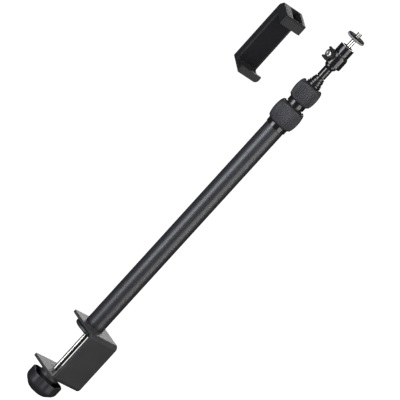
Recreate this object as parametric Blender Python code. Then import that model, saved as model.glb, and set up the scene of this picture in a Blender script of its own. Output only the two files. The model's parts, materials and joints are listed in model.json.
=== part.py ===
# Telescopic desk stand: screw clamp, three-section twist-lock pole, ball head with a camera stud,
# and the spring phone holder that goes on the stud, lying beside the pole with its long side upright.
# Origin: pole axis at the desk's top surface. +Z runs up the pole and the clamp opens towards +Y.
import math

import bmesh
import bpy
from mathutils import Matrix, Vector

mm = 0.001
gap = 0.3 * mm                      # kept between pieces that touch or slide
sides = 32                          # facets round the large turned pieces
small_sides = 20                    # facets round the small ones

# Clamp
clamp_plate = 3.6 * mm
clamp_width = 49.0 * mm
back_reach = 31.0 * mm              # pole axis to the outer face of the back
jaw_reach = 19.7 * mm               # pole axis to the jaw tips
throat = 66.8 * mm                  # desk surface to the lower jaw
bend_radius = 6.0 * mm
tip_radius = 3.0 * mm
lining = 1.1 * mm
lining_margin = 2.5 * mm
screw_radius = 3.2 * mm
screw_neck_radius = 2.2 * mm
bush_radius = 13.0 * mm
bush_height = 8.9 * mm
bush_spigot_radius = 6.0 * mm
foot_radius = 20.3 * mm
foot_thickness = 4.2 * mm
foot_hub_radius = 8.0 * mm
foot_hub_height = 3.2 * mm
foot_pad_thickness = 1.3 * mm
foot_pad_margin = 0.8 * mm
foot_rest_gap = 0.5 * mm            # between the closed foot and the lining
rivet_radius = 4.0 * mm
rivet_thickness = 1.1 * mm
knob_radius = 23.0 * mm
knob_height = 23.3 * mm
knob_wall_height = 10.0 * mm        # straight side above the dome
knob_lobes = 5
knob_lobe_depth = 2.4 * mm
knob_turn = math.radians(42)
knob_collar_radius = 8.0 * mm
knob_collar_height = 0.9 * mm
knob_insert_radius = 6.0 * mm
knob_insert_height = 12.0 * mm
bush_chamfer = 1.0 * mm
foot_chamfer = 1.2 * mm
knob_chamfer = 0.8 * mm

# Pole
base_plug_length = 21.7 * mm
bolt_radius = 3.0 * mm
bolt_head_radius = 6.0 * mm
bolt_reach = 17.0 * mm              # bolt length above the clamp plate
bolt_socket_depth = 1.6 * mm
bolt_socket_radius = 1.8 * mm
main_radius = 12.5 * mm
main_wall = 1.2 * mm
main_length = 339.7 * mm
section_step = 2.5 * mm             # each section's radius is smaller by this
second_radius = main_radius - section_step
third_radius = second_radius - section_step
tube_wall = 1.0 * mm
guide_flange = 5.7 * mm
guide_spigot = 12.0 * mm
guide_clearance = 1.0 * mm          # between one section's foot and what lies below it
guide_wall = 1.5 * mm
sleeve_chamfer = 0.3 * mm
ferrule_wall = 0.7 * mm             # lock sleeve outside the main tube
ferrule_height = 5.4 * mm           # visible ring below the lower collar
sleeve_height = 25.4 * mm
lower_collar_height = 28.1 * mm
neck_wall = 1.5 * mm                # lock sleeve outside the second tube
neck_height = 5.8 * mm              # visible ring below the upper collar
neck_gap = 1.2 * mm                 # bare tube between the lower collar and the neck
neck_sleeve_height = 23.4 * mm
upper_collar_height = 26.1 * mm
collar_wall = 0.9 * mm
lower_grip_radius = main_radius + 5.5 * mm
upper_grip_radius = second_radius + 6.0 * mm
grip_margin = 1.2 * mm              # core left bare at each end of a grip
grip_edge = 0.4 * mm                # rubber thickness at its ends
collet_wall = 1.6 * mm
collet_height = 12.0 * mm
collet_slot = 0.6 * mm
collar_shoulder = 1.6 * mm
collar_lip = 2.0 * mm
sleeve_depth = 15.4 * mm            # how far a sleeve runs down its tube
top_cap_radius = third_radius + 1.65 * mm
top_cap_height = 5.1 * mm
cap_chamfer = 0.8 * mm

# Neck of the head
adapter_bottom_radius = third_radius - 0.05 * mm
adapter_top_radius = 6.5 * mm
adapter_height = 7.2 * mm
adapter_spigot = 14.0 * mm
rod_radius = 5.65 * mm
rod_height = 13.6 * mm
rod_stud_radius = 3.0 * mm
rod_stud_length = 11.0 * mm
flange_radius = 7.8 * mm
flange_height = 5.1 * mm
flange_step = 0.3 * mm

# Ball head
ball_radius = 7.2 * mm
ball_height = ball_radius - 2.2 * mm  # ball centre above the housing's top
housing_radius = ball_radius + 4.05 * mm
housing_wall_height = 13.3 * mm
housing_height = 16.9 * mm
housing_floor = 7.7 * mm
housing_wall = 2.65 * mm
housing_chamfer = 0.8 * mm
housing_shoulder = 1.45 * mm
weld = 0.8 * mm                     # how far a boss runs into the wall it grows from
cap_radius = ball_radius + 2.3 * mm
cap_height = ball_height + ball_radius - 0.4 * mm
cap_wall = 0.9 * mm
cap_lip = 1.6 * mm                  # thickness of the lip over the ball
cap_opening_radius = ball_radius - 0.2 * mm
cap_bead = 2.0 * mm
stem_radius = 3.0 * mm
stem_length = 17.4 * mm             # ball centre to the platform
platform_radius = 12.0 * mm
platform_rim = 2.6 * mm
platform_cone = 1.2 * mm
platform_collar = 2.0 * mm
platform_chamfer = 0.6 * mm
platform_pad = 0.9 * mm
stud_radius = 3.175 * mm
stud_height = 6.1 * mm
stud_chamfer = 0.6 * mm
lock_height = 9.9 * mm              # lock screw above the housing's foot
lock_screw_radius = 2.5 * mm
lock_pin_radius = 1.6 * mm
lock_pin_length = 5.5 * mm
lock_pin_point = 1.0 * mm
lock_boss_radius = 5.0 * mm
lock_boss_reach = 13.0 * mm         # pole axis to the face of the boss
wing_span = 16.6 * mm
wing_reach = 8.0 * mm               # how far the wings stand out from the boss
wing_thickness = 6.0 * mm
wing_hub_radius = 5.2 * mm
wing_hub_height = 4.0 * mm
wing_inset = 0.5 * mm
wing_step = 0.6 * mm
wing_shoulder = 3.2 * mm
wing_ear = 0.9 * mm
wing_ear_width = 2.4 * mm
wing_round = 1.0 * mm
wing_flare = 0.2 * mm
lock_head_radius = 4.4 * mm
lock_head_height = 1.6 * mm
lock_head_chamfer = 0.8 * mm

# Phone holder, in its own frame: X out of the back towards the lips, Z along it
holder_depth = 38.0 * mm
holder_width = 29.0 * mm
holder_height = 92.0 * mm
holder_back = 12.0 * mm             # depth of the back housing
holder_front_wall = 2.5 * mm
holder_side_wall = 2.2 * mm
holder_base = 9.5 * mm              # solid foot of the back housing
holder_head = 13.0 * mm             # height of the sliding head
holder_floor = 4.5 * mm
holder_lip = 3.5 * mm
holder_lip_height = 9.5 * mm
holder_rim = 3.2 * mm
holder_pocket = 9.5 * mm
pocket_back = 6.5 * mm              # solid behind the head's pocket
pocket_near = 10.5 * mm             # solid on the pocket's -Y side
pocket_far = 4.7 * mm               # and on its +Y side
holder_chamfer = 5.0 * mm
holder_corner = 2.5 * mm
holder_pad = 0.9 * mm
holder_pad_margin = 2.5 * mm
cover_thickness = 1.8 * mm
slider_thickness = 3.0 * mm
slider_width = 15.2 * mm
slider_reach = 45.0 * mm            # tongue below the head
tab_height = 3.0 * mm
spring_radius = 1.45 * mm
spring_wire = 0.25 * mm
spring_turns = 9
spring_spread = 4.0 * mm
boss_radius = 2.0 * mm
boss_spread = 10.2 * mm
boss_inset = 7.0 * mm
cover_screw_radius = 0.8 * mm
cover_screw_head = 1.7 * mm
cover_screw_clear = 1.0 * mm
screw_sink = 0.1 * mm
pilot_end = 0.5 * mm
tab_overlap = 0.5 * mm
insert_radius = 4.2 * mm
insert_height = 7.6 * mm
holder_side = -72.0 * mm            # holder's centre, sideways from the pole
holder_level = 400.0 * mm           # holder's centre above the desk
holder_bearing = math.radians(-47.7)
holder_lean = math.radians(8.5)
holder_turn = math.radians(-64.4)

# Heights up the pole, each from the one below
plate_under = lining + gap
plate_top = plate_under + clamp_plate
tube_foot = plate_top + gap
tube_top = tube_foot + main_length
base_plug_top = tube_foot + base_plug_length
ferrule_foot = tube_top - sleeve_depth
lower_collar_foot = ferrule_foot + ferrule_height + gap
lower_collar_top = lower_collar_foot + lower_collar_height
neck_foot = lower_collar_top + neck_gap
upper_collar_foot = neck_foot + neck_height + gap
upper_collar_top = upper_collar_foot + upper_collar_height
second_top = neck_foot + sleeve_depth
second_guide_foot = base_plug_top + guide_clearance
second_foot = second_guide_foot + guide_flange + gap
third_guide_foot = second_foot + guide_spigot + guide_clearance
third_foot = third_guide_foot + guide_flange + gap
cap_foot = upper_collar_top + gap
adapter_foot = cap_foot + top_cap_height + gap
third_top = adapter_foot - 2 * gap
rod_foot = adapter_foot + adapter_height + gap
flange_foot = rod_foot + rod_height + gap
housing_foot = flange_foot + flange_height + gap
housing_top = housing_foot + housing_height
ball_cap_foot = housing_top + gap
ball_centre = housing_top + ball_height
lock_level = housing_foot + lock_height


def remove_scene_objects():
    for scene_object in list(bpy.data.objects):
        bpy.data.objects.remove(scene_object, do_unlink=True)


def make_material(name, colour, roughness, metallic):
    material = bpy.data.materials.new(name)
    material.use_nodes = True
    shader = material.node_tree.nodes["Principled BSDF"]
    shader.inputs["Base Color"].default_value = (*colour, 1)
    shader.inputs["Roughness"].default_value = roughness
    shader.inputs["Metallic"].default_value = metallic
    material.diffuse_color = (*colour, 1)
    return material


satin_black = ((0.045, 0.046, 0.05), 0.42, 0.0)
gloss_black = ((0.012, 0.012, 0.014), 0.12, 0.0)
matte_black = ((0.05, 0.05, 0.053), 0.6, 0.0)
rubber_black = ((0.06, 0.06, 0.065), 0.8, 0.0)
nylon_white = ((0.75, 0.75, 0.72), 0.45, 0.0)
dark_metal = ((0.16, 0.16, 0.17), 0.38, 0.9)
chrome = ((0.78, 0.78, 0.79), 0.1, 1.0)
zinc = ((0.6, 0.61, 0.62), 0.3, 1.0)
brass = ((0.75, 0.55, 0.24), 0.3, 1.0)


def add_object(name, bm, look, location=(0, 0, 0), parent=None, sharp=35):
    """Turn a bmesh into the node called name, with its own material."""
    bmesh.ops.remove_doubles(bm, verts=bm.verts, dist=1e-6)
    bmesh.ops.recalc_face_normals(bm, faces=bm.faces)
    mesh = bpy.data.meshes.new(name)
    bm.to_mesh(mesh)
    bm.free()
    mesh.shade_smooth()
    mesh.set_sharp_from_angle(angle=math.radians(sharp))
    mesh.materials.append(make_material(name, *look))
    node = bpy.data.objects.new(name, mesh)
    node.location = location
    node.parent = parent
    bpy.context.collection.objects.link(node)
    return node


def add_cutter(name, bm, location=(0, 0, 0), parent=None):
    """A hidden guide body that a Boolean modifier uses."""
    cutter = add_object(name, bm, matte_black, location, parent)
    cutter.hide_render = True
    cutter.display_type = "WIRE"
    return cutter


def boolean(node, tool, operation="DIFFERENCE"):
    modifier = node.modifiers.new(tool.name, "BOOLEAN")
    modifier.operation = operation
    modifier.solver = "EXACT"
    modifier.object = tool


def arc(centre, radius, start, end, steps):
    """Points round part of a circle, angles in degrees."""
    angles = [math.radians(start + (end - start) * i / steps) for i in range(steps + 1)]
    return [(centre[0] + radius * math.cos(a), centre[1] + radius * math.sin(a)) for a in angles]


def turned(outline, facets=sides, axis="Z"):
    """Spin a closed (radius, height) outline about the axis."""
    bm = bmesh.new()
    points = [bm.verts.new((radius, 0, height)) for radius, height in outline]
    edges = []
    for first, second in zip(points, points[1:] + points[:1]):
        if first.co.x > 0 or second.co.x > 0:
            edges.append(bm.edges.new((first, second)))
    bmesh.ops.spin(
        bm, geom=points + edges, cent=(0, 0, 0), axis=(0, 0, 1), angle=math.tau, steps=facets, use_merge=True
    )
    if axis == "-X":
        bmesh.ops.transform(bm, matrix=Matrix.Rotation(-math.pi / 2, 4, "Y"), verts=bm.verts)
    if axis == "+X":
        bmesh.ops.transform(bm, matrix=Matrix.Rotation(math.pi / 2, 4, "Y"), verts=bm.verts)
    return bm


def ring(inner, outer, foot, top):
    """Outline of a plain ring."""
    return [(inner, foot), (outer, foot), (outer, top), (inner, top)]


def rod(radius, foot, top):
    """Outline of a solid round bar."""
    return [(0, foot), (radius, foot), (radius, top), (0, top)]


def box(low, high):
    bm = bmesh.new()
    size = Vector(high) - Vector(low)
    centre = (Vector(high) + Vector(low)) / 2
    bmesh.ops.create_cube(bm, size=1, matrix=Matrix.Translation(centre) @ Matrix.Diagonal((*size, 1)))
    return bm


def prism(outline, low, high, across="X"):
    """Extrude a flat outline: (y, z) points along X, or (x, z) points along Y."""
    bm = bmesh.new()
    if across == "X":
        corners = [bm.verts.new((low, a, b)) for a, b in outline]
        push = Vector((high - low, 0, 0))
    else:
        corners = [bm.verts.new((a, low, b)) for a, b in outline]
        push = Vector((0, high - low, 0))
    face = bm.faces.new(corners)
    extruded = bmesh.ops.extrude_face_region(bm, geom=[face])
    moved = [item for item in extruded["geom"] if isinstance(item, bmesh.types.BMVert)]
    bmesh.ops.translate(bm, verts=moved, vec=push)
    return bm


def round_edges(bm, radius, chosen, steps=3):
    """Round the edges that chosen(a, b) picks by their two end points."""
    edges = [edge for edge in bm.edges if chosen(edge.verts[0].co, edge.verts[1].co)]
    bmesh.ops.bevel(bm, geom=edges, offset=radius, segments=steps, profile=0.5, affect="EDGES")


# ---------------------------------------------------------------- clamp
def clamp_outline():
    """Side view of the bent plate, (y, z)."""
    inner = bend_radius - clamp_plate
    low = -throat - clamp_plate
    outer_y = bend_radius - back_reach
    points = [(jaw_reach, plate_top)]
    points += arc((outer_y, plate_top - bend_radius), bend_radius, 90, 180, 6)
    points += arc((outer_y, low + bend_radius), bend_radius, 180, 270, 6)
    points += [(jaw_reach, low), (jaw_reach, -throat)]
    points += arc((outer_y, low + bend_radius), inner, 270, 180, 6)
    points += arc((outer_y, plate_top - bend_radius), inner, 180, 90, 6)
    points.append((jaw_reach, plate_under))
    return points


def make_clamp_bracket():
    half = clamp_width / 2
    bm = prism(clamp_outline(), -half, half)

    def at_tip(a, b):
        upright = abs(a.z - b.z) > clamp_plate / 2 and abs(a.x - b.x) < gap
        return upright and min(a.y, b.y) > jaw_reach - gap

    round_edges(bm, tip_radius, at_tip)
    bracket = add_object("clamp_bracket", bm, satin_black)
    slope = bolt_head_radius - bolt_radius
    sunk = [
        (0, -gap * 4),
        (bolt_head_radius + gap, -gap * 4),
        (bolt_head_radius + gap, plate_under + gap),
        (bolt_radius + gap, plate_under + gap + slope),
        (bolt_radius + gap, plate_top + clamp_plate),
        (0, plate_top + clamp_plate),
    ]
    boolean(bracket, add_cutter("bolt_hole", turned(sunk, small_sides)))
    hole = rod(bush_spigot_radius + gap, -throat - 2 * clamp_plate, -throat + clamp_plate)
    boolean(bracket, add_cutter("bush_hole", turned(hole, small_sides)))


def make_jaw_lining():
    half = clamp_width / 2 - lining_margin
    back = bend_radius - back_reach + gap
    bm = box((-half, back, 0), (half, jaw_reach - lining_margin, lining))
    pad = add_object("jaw_lining", bm, rubber_black)
    hole = rod(bolt_head_radius + 2 * gap, -lining, 2 * lining)
    boolean(pad, add_cutter("lining_hole", turned(hole, small_sides)))


def make_screw_bush():
    jaw_under = -throat - clamp_plate
    flange_top = jaw_under - gap
    bore = screw_radius + gap
    outline = [
        (bore, flange_top - bush_height),
        (bush_radius - bush_chamfer, flange_top - bush_height),
        (bush_radius, flange_top - bush_height + bush_chamfer),
        (bush_radius, flange_top),
        (bush_spigot_radius, flange_top),
        (bush_spigot_radius, -throat),
        (bore, -throat),
    ]
    add_object("screw_bush", turned(outline), dark_metal)


foot_top = -foot_rest_gap - foot_pad_thickness - gap
foot_under = foot_top - foot_thickness
hub_under = foot_under - foot_hub_height
knob_top = -throat - clamp_plate - gap - bush_height - knob_collar_height - gap
knob_foot = knob_top - knob_height
insert_top = knob_top - gap


def make_pressure_foot():
    bore = screw_neck_radius + gap
    pocket = foot_top - rivet_thickness - 2 * gap
    outline = [
        (bore, hub_under),
        (foot_hub_radius, hub_under),
        (foot_hub_radius, foot_under),
        (foot_radius - foot_chamfer, foot_under),
        (foot_radius, foot_under + foot_chamfer),
        (foot_radius, foot_top),
        (rivet_radius + gap, foot_top),
        (rivet_radius + gap, pocket),
        (bore, pocket),
    ]
    add_object("pressure_foot", turned(outline), satin_black)


def make_foot_pad():
    outline = rod(foot_radius - foot_pad_margin, foot_top + gap, -foot_rest_gap)
    add_object("foot_pad", turned(outline), rubber_black)


def make_clamp_screw():
    neck_top = foot_top - 0.5 * gap
    outline = [
        (0, insert_top - knob_insert_height + gap),
        (screw_radius, insert_top - knob_insert_height + gap),
        (screw_radius, hub_under - gap),
        (screw_neck_radius, hub_under - gap),
        (screw_neck_radius, neck_top),
        (0, neck_top),
    ]
    add_object("clamp_screw", turned(outline, small_sides), zinc)


def make_foot_rivet():
    seat = foot_top - rivet_thickness - gap
    outline = ring(screw_neck_radius + gap, rivet_radius, seat, seat + rivet_thickness)
    add_object("foot_rivet", turned(outline, small_sides), zinc)


def knob_surface():
    """Rings of the lobed knob from the rim of its bore round to the dome's centre."""
    dome_height = knob_height - knob_wall_height
    rings = [(knob_insert_radius + gap, knob_top, 0), (knob_radius - knob_chamfer, knob_top, 1)]
    rings += [(knob_radius, knob_top - knob_chamfer, 1), (knob_radius, knob_top - knob_wall_height, 1)]
    for i in range(1, 6):
        angle = math.radians(84 * i / 5)
        depth = knob_wall_height + dome_height * math.sin(angle)
        rings.append((knob_radius * math.cos(angle), knob_top - depth, math.cos(angle)))
    return rings


def make_clamp_knob():
    bm = bmesh.new()
    facets = 10 * knob_lobes

    def loop(radius, height, wave):
        points = []
        for i in range(facets):
            angle = math.tau * i / facets
            wobble = math.cos(knob_lobes * (angle - knob_turn))
            dip = knob_lobe_depth * wave * (0.5 - 0.5 * wobble) ** 2
            reach = radius - dip
            points.append(bm.verts.new((reach * math.cos(angle), reach * math.sin(angle), height)))
        return points

    pocket_floor = insert_top - knob_insert_height - gap
    loops = [loop(knob_insert_radius + gap, pocket_floor, 0)]
    loops += [loop(*row) for row in knob_surface()]
    for upper, lower in zip(loops, loops[1:]):
        for i in range(facets):
            j = (i + 1) % facets
            bm.faces.new((upper[i], upper[j], lower[j], lower[i]))
    bm.faces.new(loops[0])
    bm.faces.new(loops[-1])
    add_object("clamp_knob", bm, satin_black)


def make_knob_insert():
    collar_top = knob_top + knob_collar_height
    foot = insert_top - knob_insert_height
    bore = screw_radius + gap
    outline = [
        (bore, foot),
        (knob_insert_radius, foot),
        (knob_insert_radius, knob_top + gap),
        (knob_collar_radius, knob_top + gap),
        (knob_collar_radius, collar_top),
        (bore, collar_top),
    ]
    add_object("knob_insert", turned(outline, small_sides), brass)


# ---------------------------------------------------------------- pole
def make_base_bolt():
    head_under = plate_under + 2 * gap
    slope = bolt_head_radius - bolt_radius
    outline = [
        (0, head_under + bolt_socket_depth),
        (bolt_socket_radius, head_under + bolt_socket_depth),
        (bolt_socket_radius, head_under),
        (bolt_head_radius, head_under),
        (bolt_radius, head_under + slope),
        (bolt_radius, plate_top + bolt_reach),
        (0, plate_top + bolt_reach),
    ]
    add_object("base_bolt", turned(outline, small_sides), zinc)


def make_base_plug():
    outline = ring(bolt_radius + gap, main_radius - main_wall - gap, tube_foot, base_plug_top)
    add_object("pole_base_plug", turned(outline), nylon_white)


def make_tube(name, radius, wall, foot, top):
    add_object(name, turned(ring(radius - wall, radius, foot, top)), satin_black)


def make_tube_guide(name, foot, tube_radius, outer_tube_radius, outer_wall, bore):
    """Bush plugged into a tube's lower end, with a flange that slides in the next tube out."""
    flange_top = foot + guide_flange
    spigot = tube_radius - tube_wall - gap
    outline = [
        (bore, foot),
        (outer_tube_radius - outer_wall - gap, foot),
        (outer_tube_radius - outer_wall - gap, flange_top),
        (spigot, flange_top),
        (spigot, flange_top + guide_spigot),
        (bore, flange_top + guide_spigot),
    ]
    add_object(name, turned(outline), nylon_white)


def make_lock_sleeve(name, tube, wall, foot, tube_end, height, seat_radius):
    """Threaded sleeve on a tube's upper end: its foot shows as a ring, its mouth holds the collet."""
    inner = tube + gap
    outer = inner + wall
    outline = [
        (inner, foot),
        (outer - sleeve_chamfer, foot),
        (outer, foot + sleeve_chamfer),
        (outer, foot + height),
        (seat_radius, foot + height),
        (seat_radius, tube_end + gap),
        (inner, tube_end + gap),
    ]
    add_object(name, turned(outline), gloss_black)


def make_collet(name, tube, foot):
    """Ring round the inner tube with four slots, which the collar squeezes."""
    inner = tube + gap
    outline = [
        (inner, foot),
        (inner + collet_wall, foot),
        (inner + collet_wall, foot + collet_height * 0.6),
        (inner + collet_wall * 0.5, foot + collet_height),
        (inner, foot + collet_height),
    ]
    node = add_object(name, turned(outline), nylon_white)
    reach = inner + 2 * collet_wall
    floor = foot + collet_height / 3
    lid = foot + collet_height + collet_wall
    for index, half in enumerate(((reach, collet_slot), (collet_slot, reach))):
        cutter = box((-half[0], -half[1], floor), (half[0], half[1], lid))
        boolean(node, add_cutter(f"{name}_slot_{index + 1}", cutter))


def make_collar_core(name, sleeve_outer, tube, foot, top, sleeve_top):
    """Collar nut: bore over the lock sleeve, and a lip at the top that closes on the tube."""
    bore = sleeve_outer + gap
    outer = bore + collar_wall
    lip_under = sleeve_top + gap
    lip = tube + gap
    outline = [(bore, foot), (outer, foot), (outer, top - collar_shoulder)]
    outline += arc((outer - collar_shoulder, top - collar_shoulder), collar_shoulder, 0, 90, 4)[1:]
    outline += [(lip, top), (lip, top - collar_lip), (bore, lip_under)]
    add_object(name, turned(outline), gloss_black)


def make_grip(name, core_outer, largest, foot, top):
    """Barrel of rubber round a collar."""
    inner = core_outer + gap
    edge = inner + grip_edge
    steps = 10
    outline = [(inner, foot)]
    for i in range(steps + 1):
        share = i / steps
        swell = max(math.sin(math.pi * share), 0) ** 0.42
        outline.append((edge + (largest - edge) * swell, foot + (top - foot) * share))
    outline.append((inner, top))
    add_object(name, turned(outline), rubber_black)


def make_pole():
    make_base_bolt()
    make_base_plug()
    make_tube("main_tube", main_radius, main_wall, tube_foot, tube_top)
    make_tube("second_tube", second_radius, tube_wall, second_foot, second_top)
    make_tube("third_tube", third_radius, tube_wall, third_foot, third_top)
    second_bore = second_radius - tube_wall - gap - guide_wall
    make_tube_guide(
        "second_tube_guide", second_guide_foot, second_radius, main_radius, main_wall, second_bore
    )
    third_bore = third_radius - tube_wall - gap - guide_wall
    make_tube_guide("third_tube_guide", third_guide_foot, third_radius, second_radius, tube_wall, third_bore)

    lower_outer = main_radius + gap + ferrule_wall
    lower_seat = second_radius + 2 * gap + collet_wall
    lower_sleeve_top = ferrule_foot + sleeve_height
    make_lock_sleeve(
        "lower_lock_sleeve", main_radius, ferrule_wall, ferrule_foot, tube_top, sleeve_height, lower_seat
    )
    make_collet("lower_collet", second_radius, tube_top + 2 * gap)
    make_collar_core(
        "lower_collar_core", lower_outer, second_radius, lower_collar_foot, lower_collar_top, lower_sleeve_top
    )
    make_grip(
        "lower_collar_grip",
        lower_outer + gap + collar_wall,
        lower_grip_radius,
        lower_collar_foot + grip_margin,
        lower_collar_top - grip_margin,
    )

    upper_outer = second_radius + gap + neck_wall
    upper_seat = third_radius + 2 * gap + collet_wall
    upper_sleeve_top = neck_foot + neck_sleeve_height
    make_lock_sleeve(
        "upper_lock_sleeve", second_radius, neck_wall, neck_foot, second_top, neck_sleeve_height, upper_seat
    )
    make_collet("upper_collet", third_radius, second_top + 2 * gap)
    make_collar_core(
        "upper_collar_core", upper_outer, third_radius, upper_collar_foot, upper_collar_top, upper_sleeve_top
    )
    make_grip(
        "upper_collar_grip",
        upper_outer + gap + collar_wall,
        upper_grip_radius,
        upper_collar_foot + grip_margin,
        upper_collar_top - grip_margin,
    )
    make_top_cap()


def make_top_cap():
    bore = third_radius + gap
    step = cap_foot + top_cap_height * 0.6
    outline = [
        (bore, cap_foot),
        (top_cap_radius, cap_foot),
        (top_cap_radius, step),
        (top_cap_radius - cap_chamfer, cap_foot + top_cap_height),
        (bore, cap_foot + top_cap_height),
    ]
    add_object("top_cap", turned(outline), gloss_black)


# ---------------------------------------------------------------- head
def make_head_adapter():
    """Plug in the third tube, with a socket for the rod's stud."""
    spigot = third_radius - tube_wall - gap
    bore = rod_stud_radius + gap
    top = adapter_foot + adapter_height
    socket = top - rod_stud_length - gap
    outline = [
        (0, adapter_foot - adapter_spigot),
        (spigot, adapter_foot - adapter_spigot),
        (spigot, adapter_foot),
        (adapter_bottom_radius, adapter_foot),
        (adapter_bottom_radius, adapter_foot + adapter_height * 0.45),
        (adapter_top_radius, adapter_foot + adapter_height * 0.6),
        (adapter_top_radius, top),
        (bore, top),
        (bore, socket),
        (0, socket),
    ]
    add_object("head_adapter", turned(outline, 32), gloss_black)


def make_head_rod():
    top = rod_foot + rod_height
    outline = [
        (0, rod_foot - rod_stud_length),
        (rod_stud_radius, rod_foot - rod_stud_length),
        (rod_stud_radius, rod_foot),
        (rod_radius, rod_foot),
        (rod_radius, top),
        (rod_stud_radius, top),
        (rod_stud_radius, top + rod_stud_length),
        (0, top + rod_stud_length),
    ]
    add_object("head_rod", turned(outline, 32), gloss_black)


def make_head_flange():
    bore = rod_stud_radius + gap
    top = flange_foot + flange_height
    outline = [
        (bore, flange_foot),
        (rod_radius + flange_step, flange_foot),
        (flange_radius, flange_foot + flange_height * 0.5),
        (flange_radius, top),
        (bore, top),
    ]
    add_object("head_flange", turned(outline, 32), gloss_black)


def make_ball_housing():
    bore = rod_stud_radius + gap
    cavity = housing_radius - housing_wall
    floor = housing_foot + housing_floor
    outline = [
        (bore, housing_foot),
        (housing_radius - housing_chamfer, housing_foot),
        (housing_radius, housing_foot + housing_chamfer),
        (housing_radius, housing_foot + housing_wall_height),
        (housing_radius - housing_shoulder, housing_top),
        (cavity, housing_top),
        (cavity, floor),
        (bore, floor),
    ]
    housing = add_object("ball_housing", turned(outline), gloss_black)
    boss = turned(rod(lock_boss_radius, cavity + weld, lock_boss_reach), small_sides, "-X")
    boolean(housing, add_cutter("lock_boss", boss, (0, 0, lock_level)), "UNION")
    bore = turned(rod(lock_screw_radius + gap, cavity / 2, 2 * lock_boss_reach), small_sides, "-X")
    boolean(housing, add_cutter("lock_bore", bore, (0, 0, lock_level)))


def make_ball_cap():
    top = ball_cap_foot + cap_height
    inner = cap_radius - cap_wall
    outline = [(inner, ball_cap_foot), (cap_radius, ball_cap_foot), (cap_radius, top - cap_bead)]
    outline += arc((cap_radius - cap_bead, top - cap_bead), cap_bead, 0, 90, 4)[1:]
    outline += [(cap_opening_radius, top), (cap_opening_radius, top - cap_lip), (inner, top - cap_lip)]
    add_object("ball_cap", turned(outline), gloss_black)


def ball_seat_outline(start, end, outer, far):
    """Ring whose inner wall follows the ball, heights from the ball's centre."""
    outline = arc((0, 0), ball_radius + gap, start, end, 6)
    return outline + [(outline[-1][0], far), (outer, far), (outer, outline[0][1])]


def make_ball_seats():
    seat_outer = housing_radius - housing_wall - gap
    lower_far = lock_level + lock_pin_radius + gap - ball_centre
    lower = ball_seat_outline(-4, -55, seat_outer, lower_far)
    add_object("ball_lower_seat", turned(lower, 32), nylon_white, (0, 0, ball_centre))
    ring_outer = cap_radius - cap_wall - gap
    upper_far = ball_cap_foot + cap_height - cap_lip - gap - ball_centre
    upper = ball_seat_outline(4, 38, ring_outer, upper_far)
    add_object("ball_upper_ring", turned(upper, 32), nylon_white, (0, 0, ball_centre))


def make_ball_stem():
    start = math.degrees(math.asin(stem_radius / ball_radius))
    outline = arc((0, 0), ball_radius, -90, 90 - start, 12)
    outline[0] = (0, -ball_radius)
    outline += [(stem_radius, stem_length), (0, stem_length)]
    add_object("ball_stem", turned(outline, 32), chrome, (0, 0, ball_centre))


def make_platform():
    foot = stem_length + gap
    rim_foot = foot + platform_cone
    top = rim_foot + platform_rim
    bore = stud_radius + gap
    outline = [
        (bore, foot),
        (stem_radius + platform_collar, foot),
        (platform_radius - platform_chamfer, rim_foot),
        (platform_radius, rim_foot + platform_chamfer),
        (platform_radius, top),
        (bore, top),
    ]
    add_object("camera_platform", turned(outline), dark_metal, (0, 0, ball_centre))
    pad = ring(bore, platform_radius - platform_chamfer, top + gap, top + gap + platform_pad)
    add_object("platform_pad", turned(pad), rubber_black, (0, 0, ball_centre))
    stud_top = top + gap + platform_pad + stud_height
    stud = [
        (0, foot),
        (stud_radius, foot),
        (stud_radius, stud_top - stud_chamfer),
        (stud_radius - stud_chamfer, stud_top),
        (0, stud_top),
    ]
    add_object("camera_stud", turned(stud, small_sides), zinc, (0, 0, ball_centre))


def make_lock():
    """Wing knob, its screw and the pin that presses the lower seat, all along -X."""
    level = (0, 0, lock_level)
    face = lock_boss_reach + gap
    bore = lock_screw_radius + gap
    hub = ring(bore, wing_hub_radius, face, face + wing_hub_height)
    knob = add_object("wing_knob", turned(hub, 32, "-X"), satin_black, level)
    half = wing_span / 2
    tip = face + wing_reach
    side = wing_thickness / 2
    for index, up in enumerate((1, -1)):
        wing = [
            (-face - wing_inset, up * (bore + wing_step)),
            (-face - wing_inset, up * (half - wing_shoulder)),
            (-face - wing_reach * 0.45, up * half),
            (-tip + wing_ear, up * (half - wing_flare)),
            (-tip, up * (half - wing_round)),
            (-tip + wing_step, up * (half - wing_ear_width)),
            (-face - wing_hub_height - wing_step, up * (lock_head_radius + wing_ear)),
            (-face - wing_hub_height + wing_flare, up * (bore + wing_step)),
        ]
        cutter = add_cutter(f"wing_{index + 1}", prism(wing, -side, side, "Y"), level)
        boolean(knob, cutter, "UNION")

    head_foot = face + wing_hub_height + gap
    screw = [
        (0, lock_boss_reach - wing_hub_height),
        (lock_screw_radius, lock_boss_reach - wing_hub_height),
        (lock_screw_radius, head_foot),
        (lock_head_radius, head_foot),
        (lock_head_radius, head_foot + lock_head_height * 0.6),
        (lock_head_radius - lock_head_chamfer, head_foot + lock_head_height),
        (0, head_foot + lock_head_height),
    ]
    add_object("lock_screw", turned(screw, small_sides, "-X"), zinc, level)
    pin_start = lock_boss_reach - wing_hub_height - gap
    pin = [
        (0, pin_start - lock_pin_length),
        (lock_pin_radius - lock_pin_point, pin_start - lock_pin_length),
        (lock_pin_radius, pin_start - (lock_pin_length - lock_pin_point)),
        (lock_pin_radius, pin_start),
        (0, pin_start),
    ]
    add_object("lock_pin", turned(pin, small_sides, "-X"), nylon_white, level)


# ---------------------------------------------------------------- phone holder
slider_foot = holder_height - holder_head - slider_reach
head_under = holder_height - holder_head
cavity_back = cover_thickness + gap
cavity_front = holder_back - holder_front_wall
slider_front = cavity_front - gap
slider_back = slider_front - slider_thickness


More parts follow.
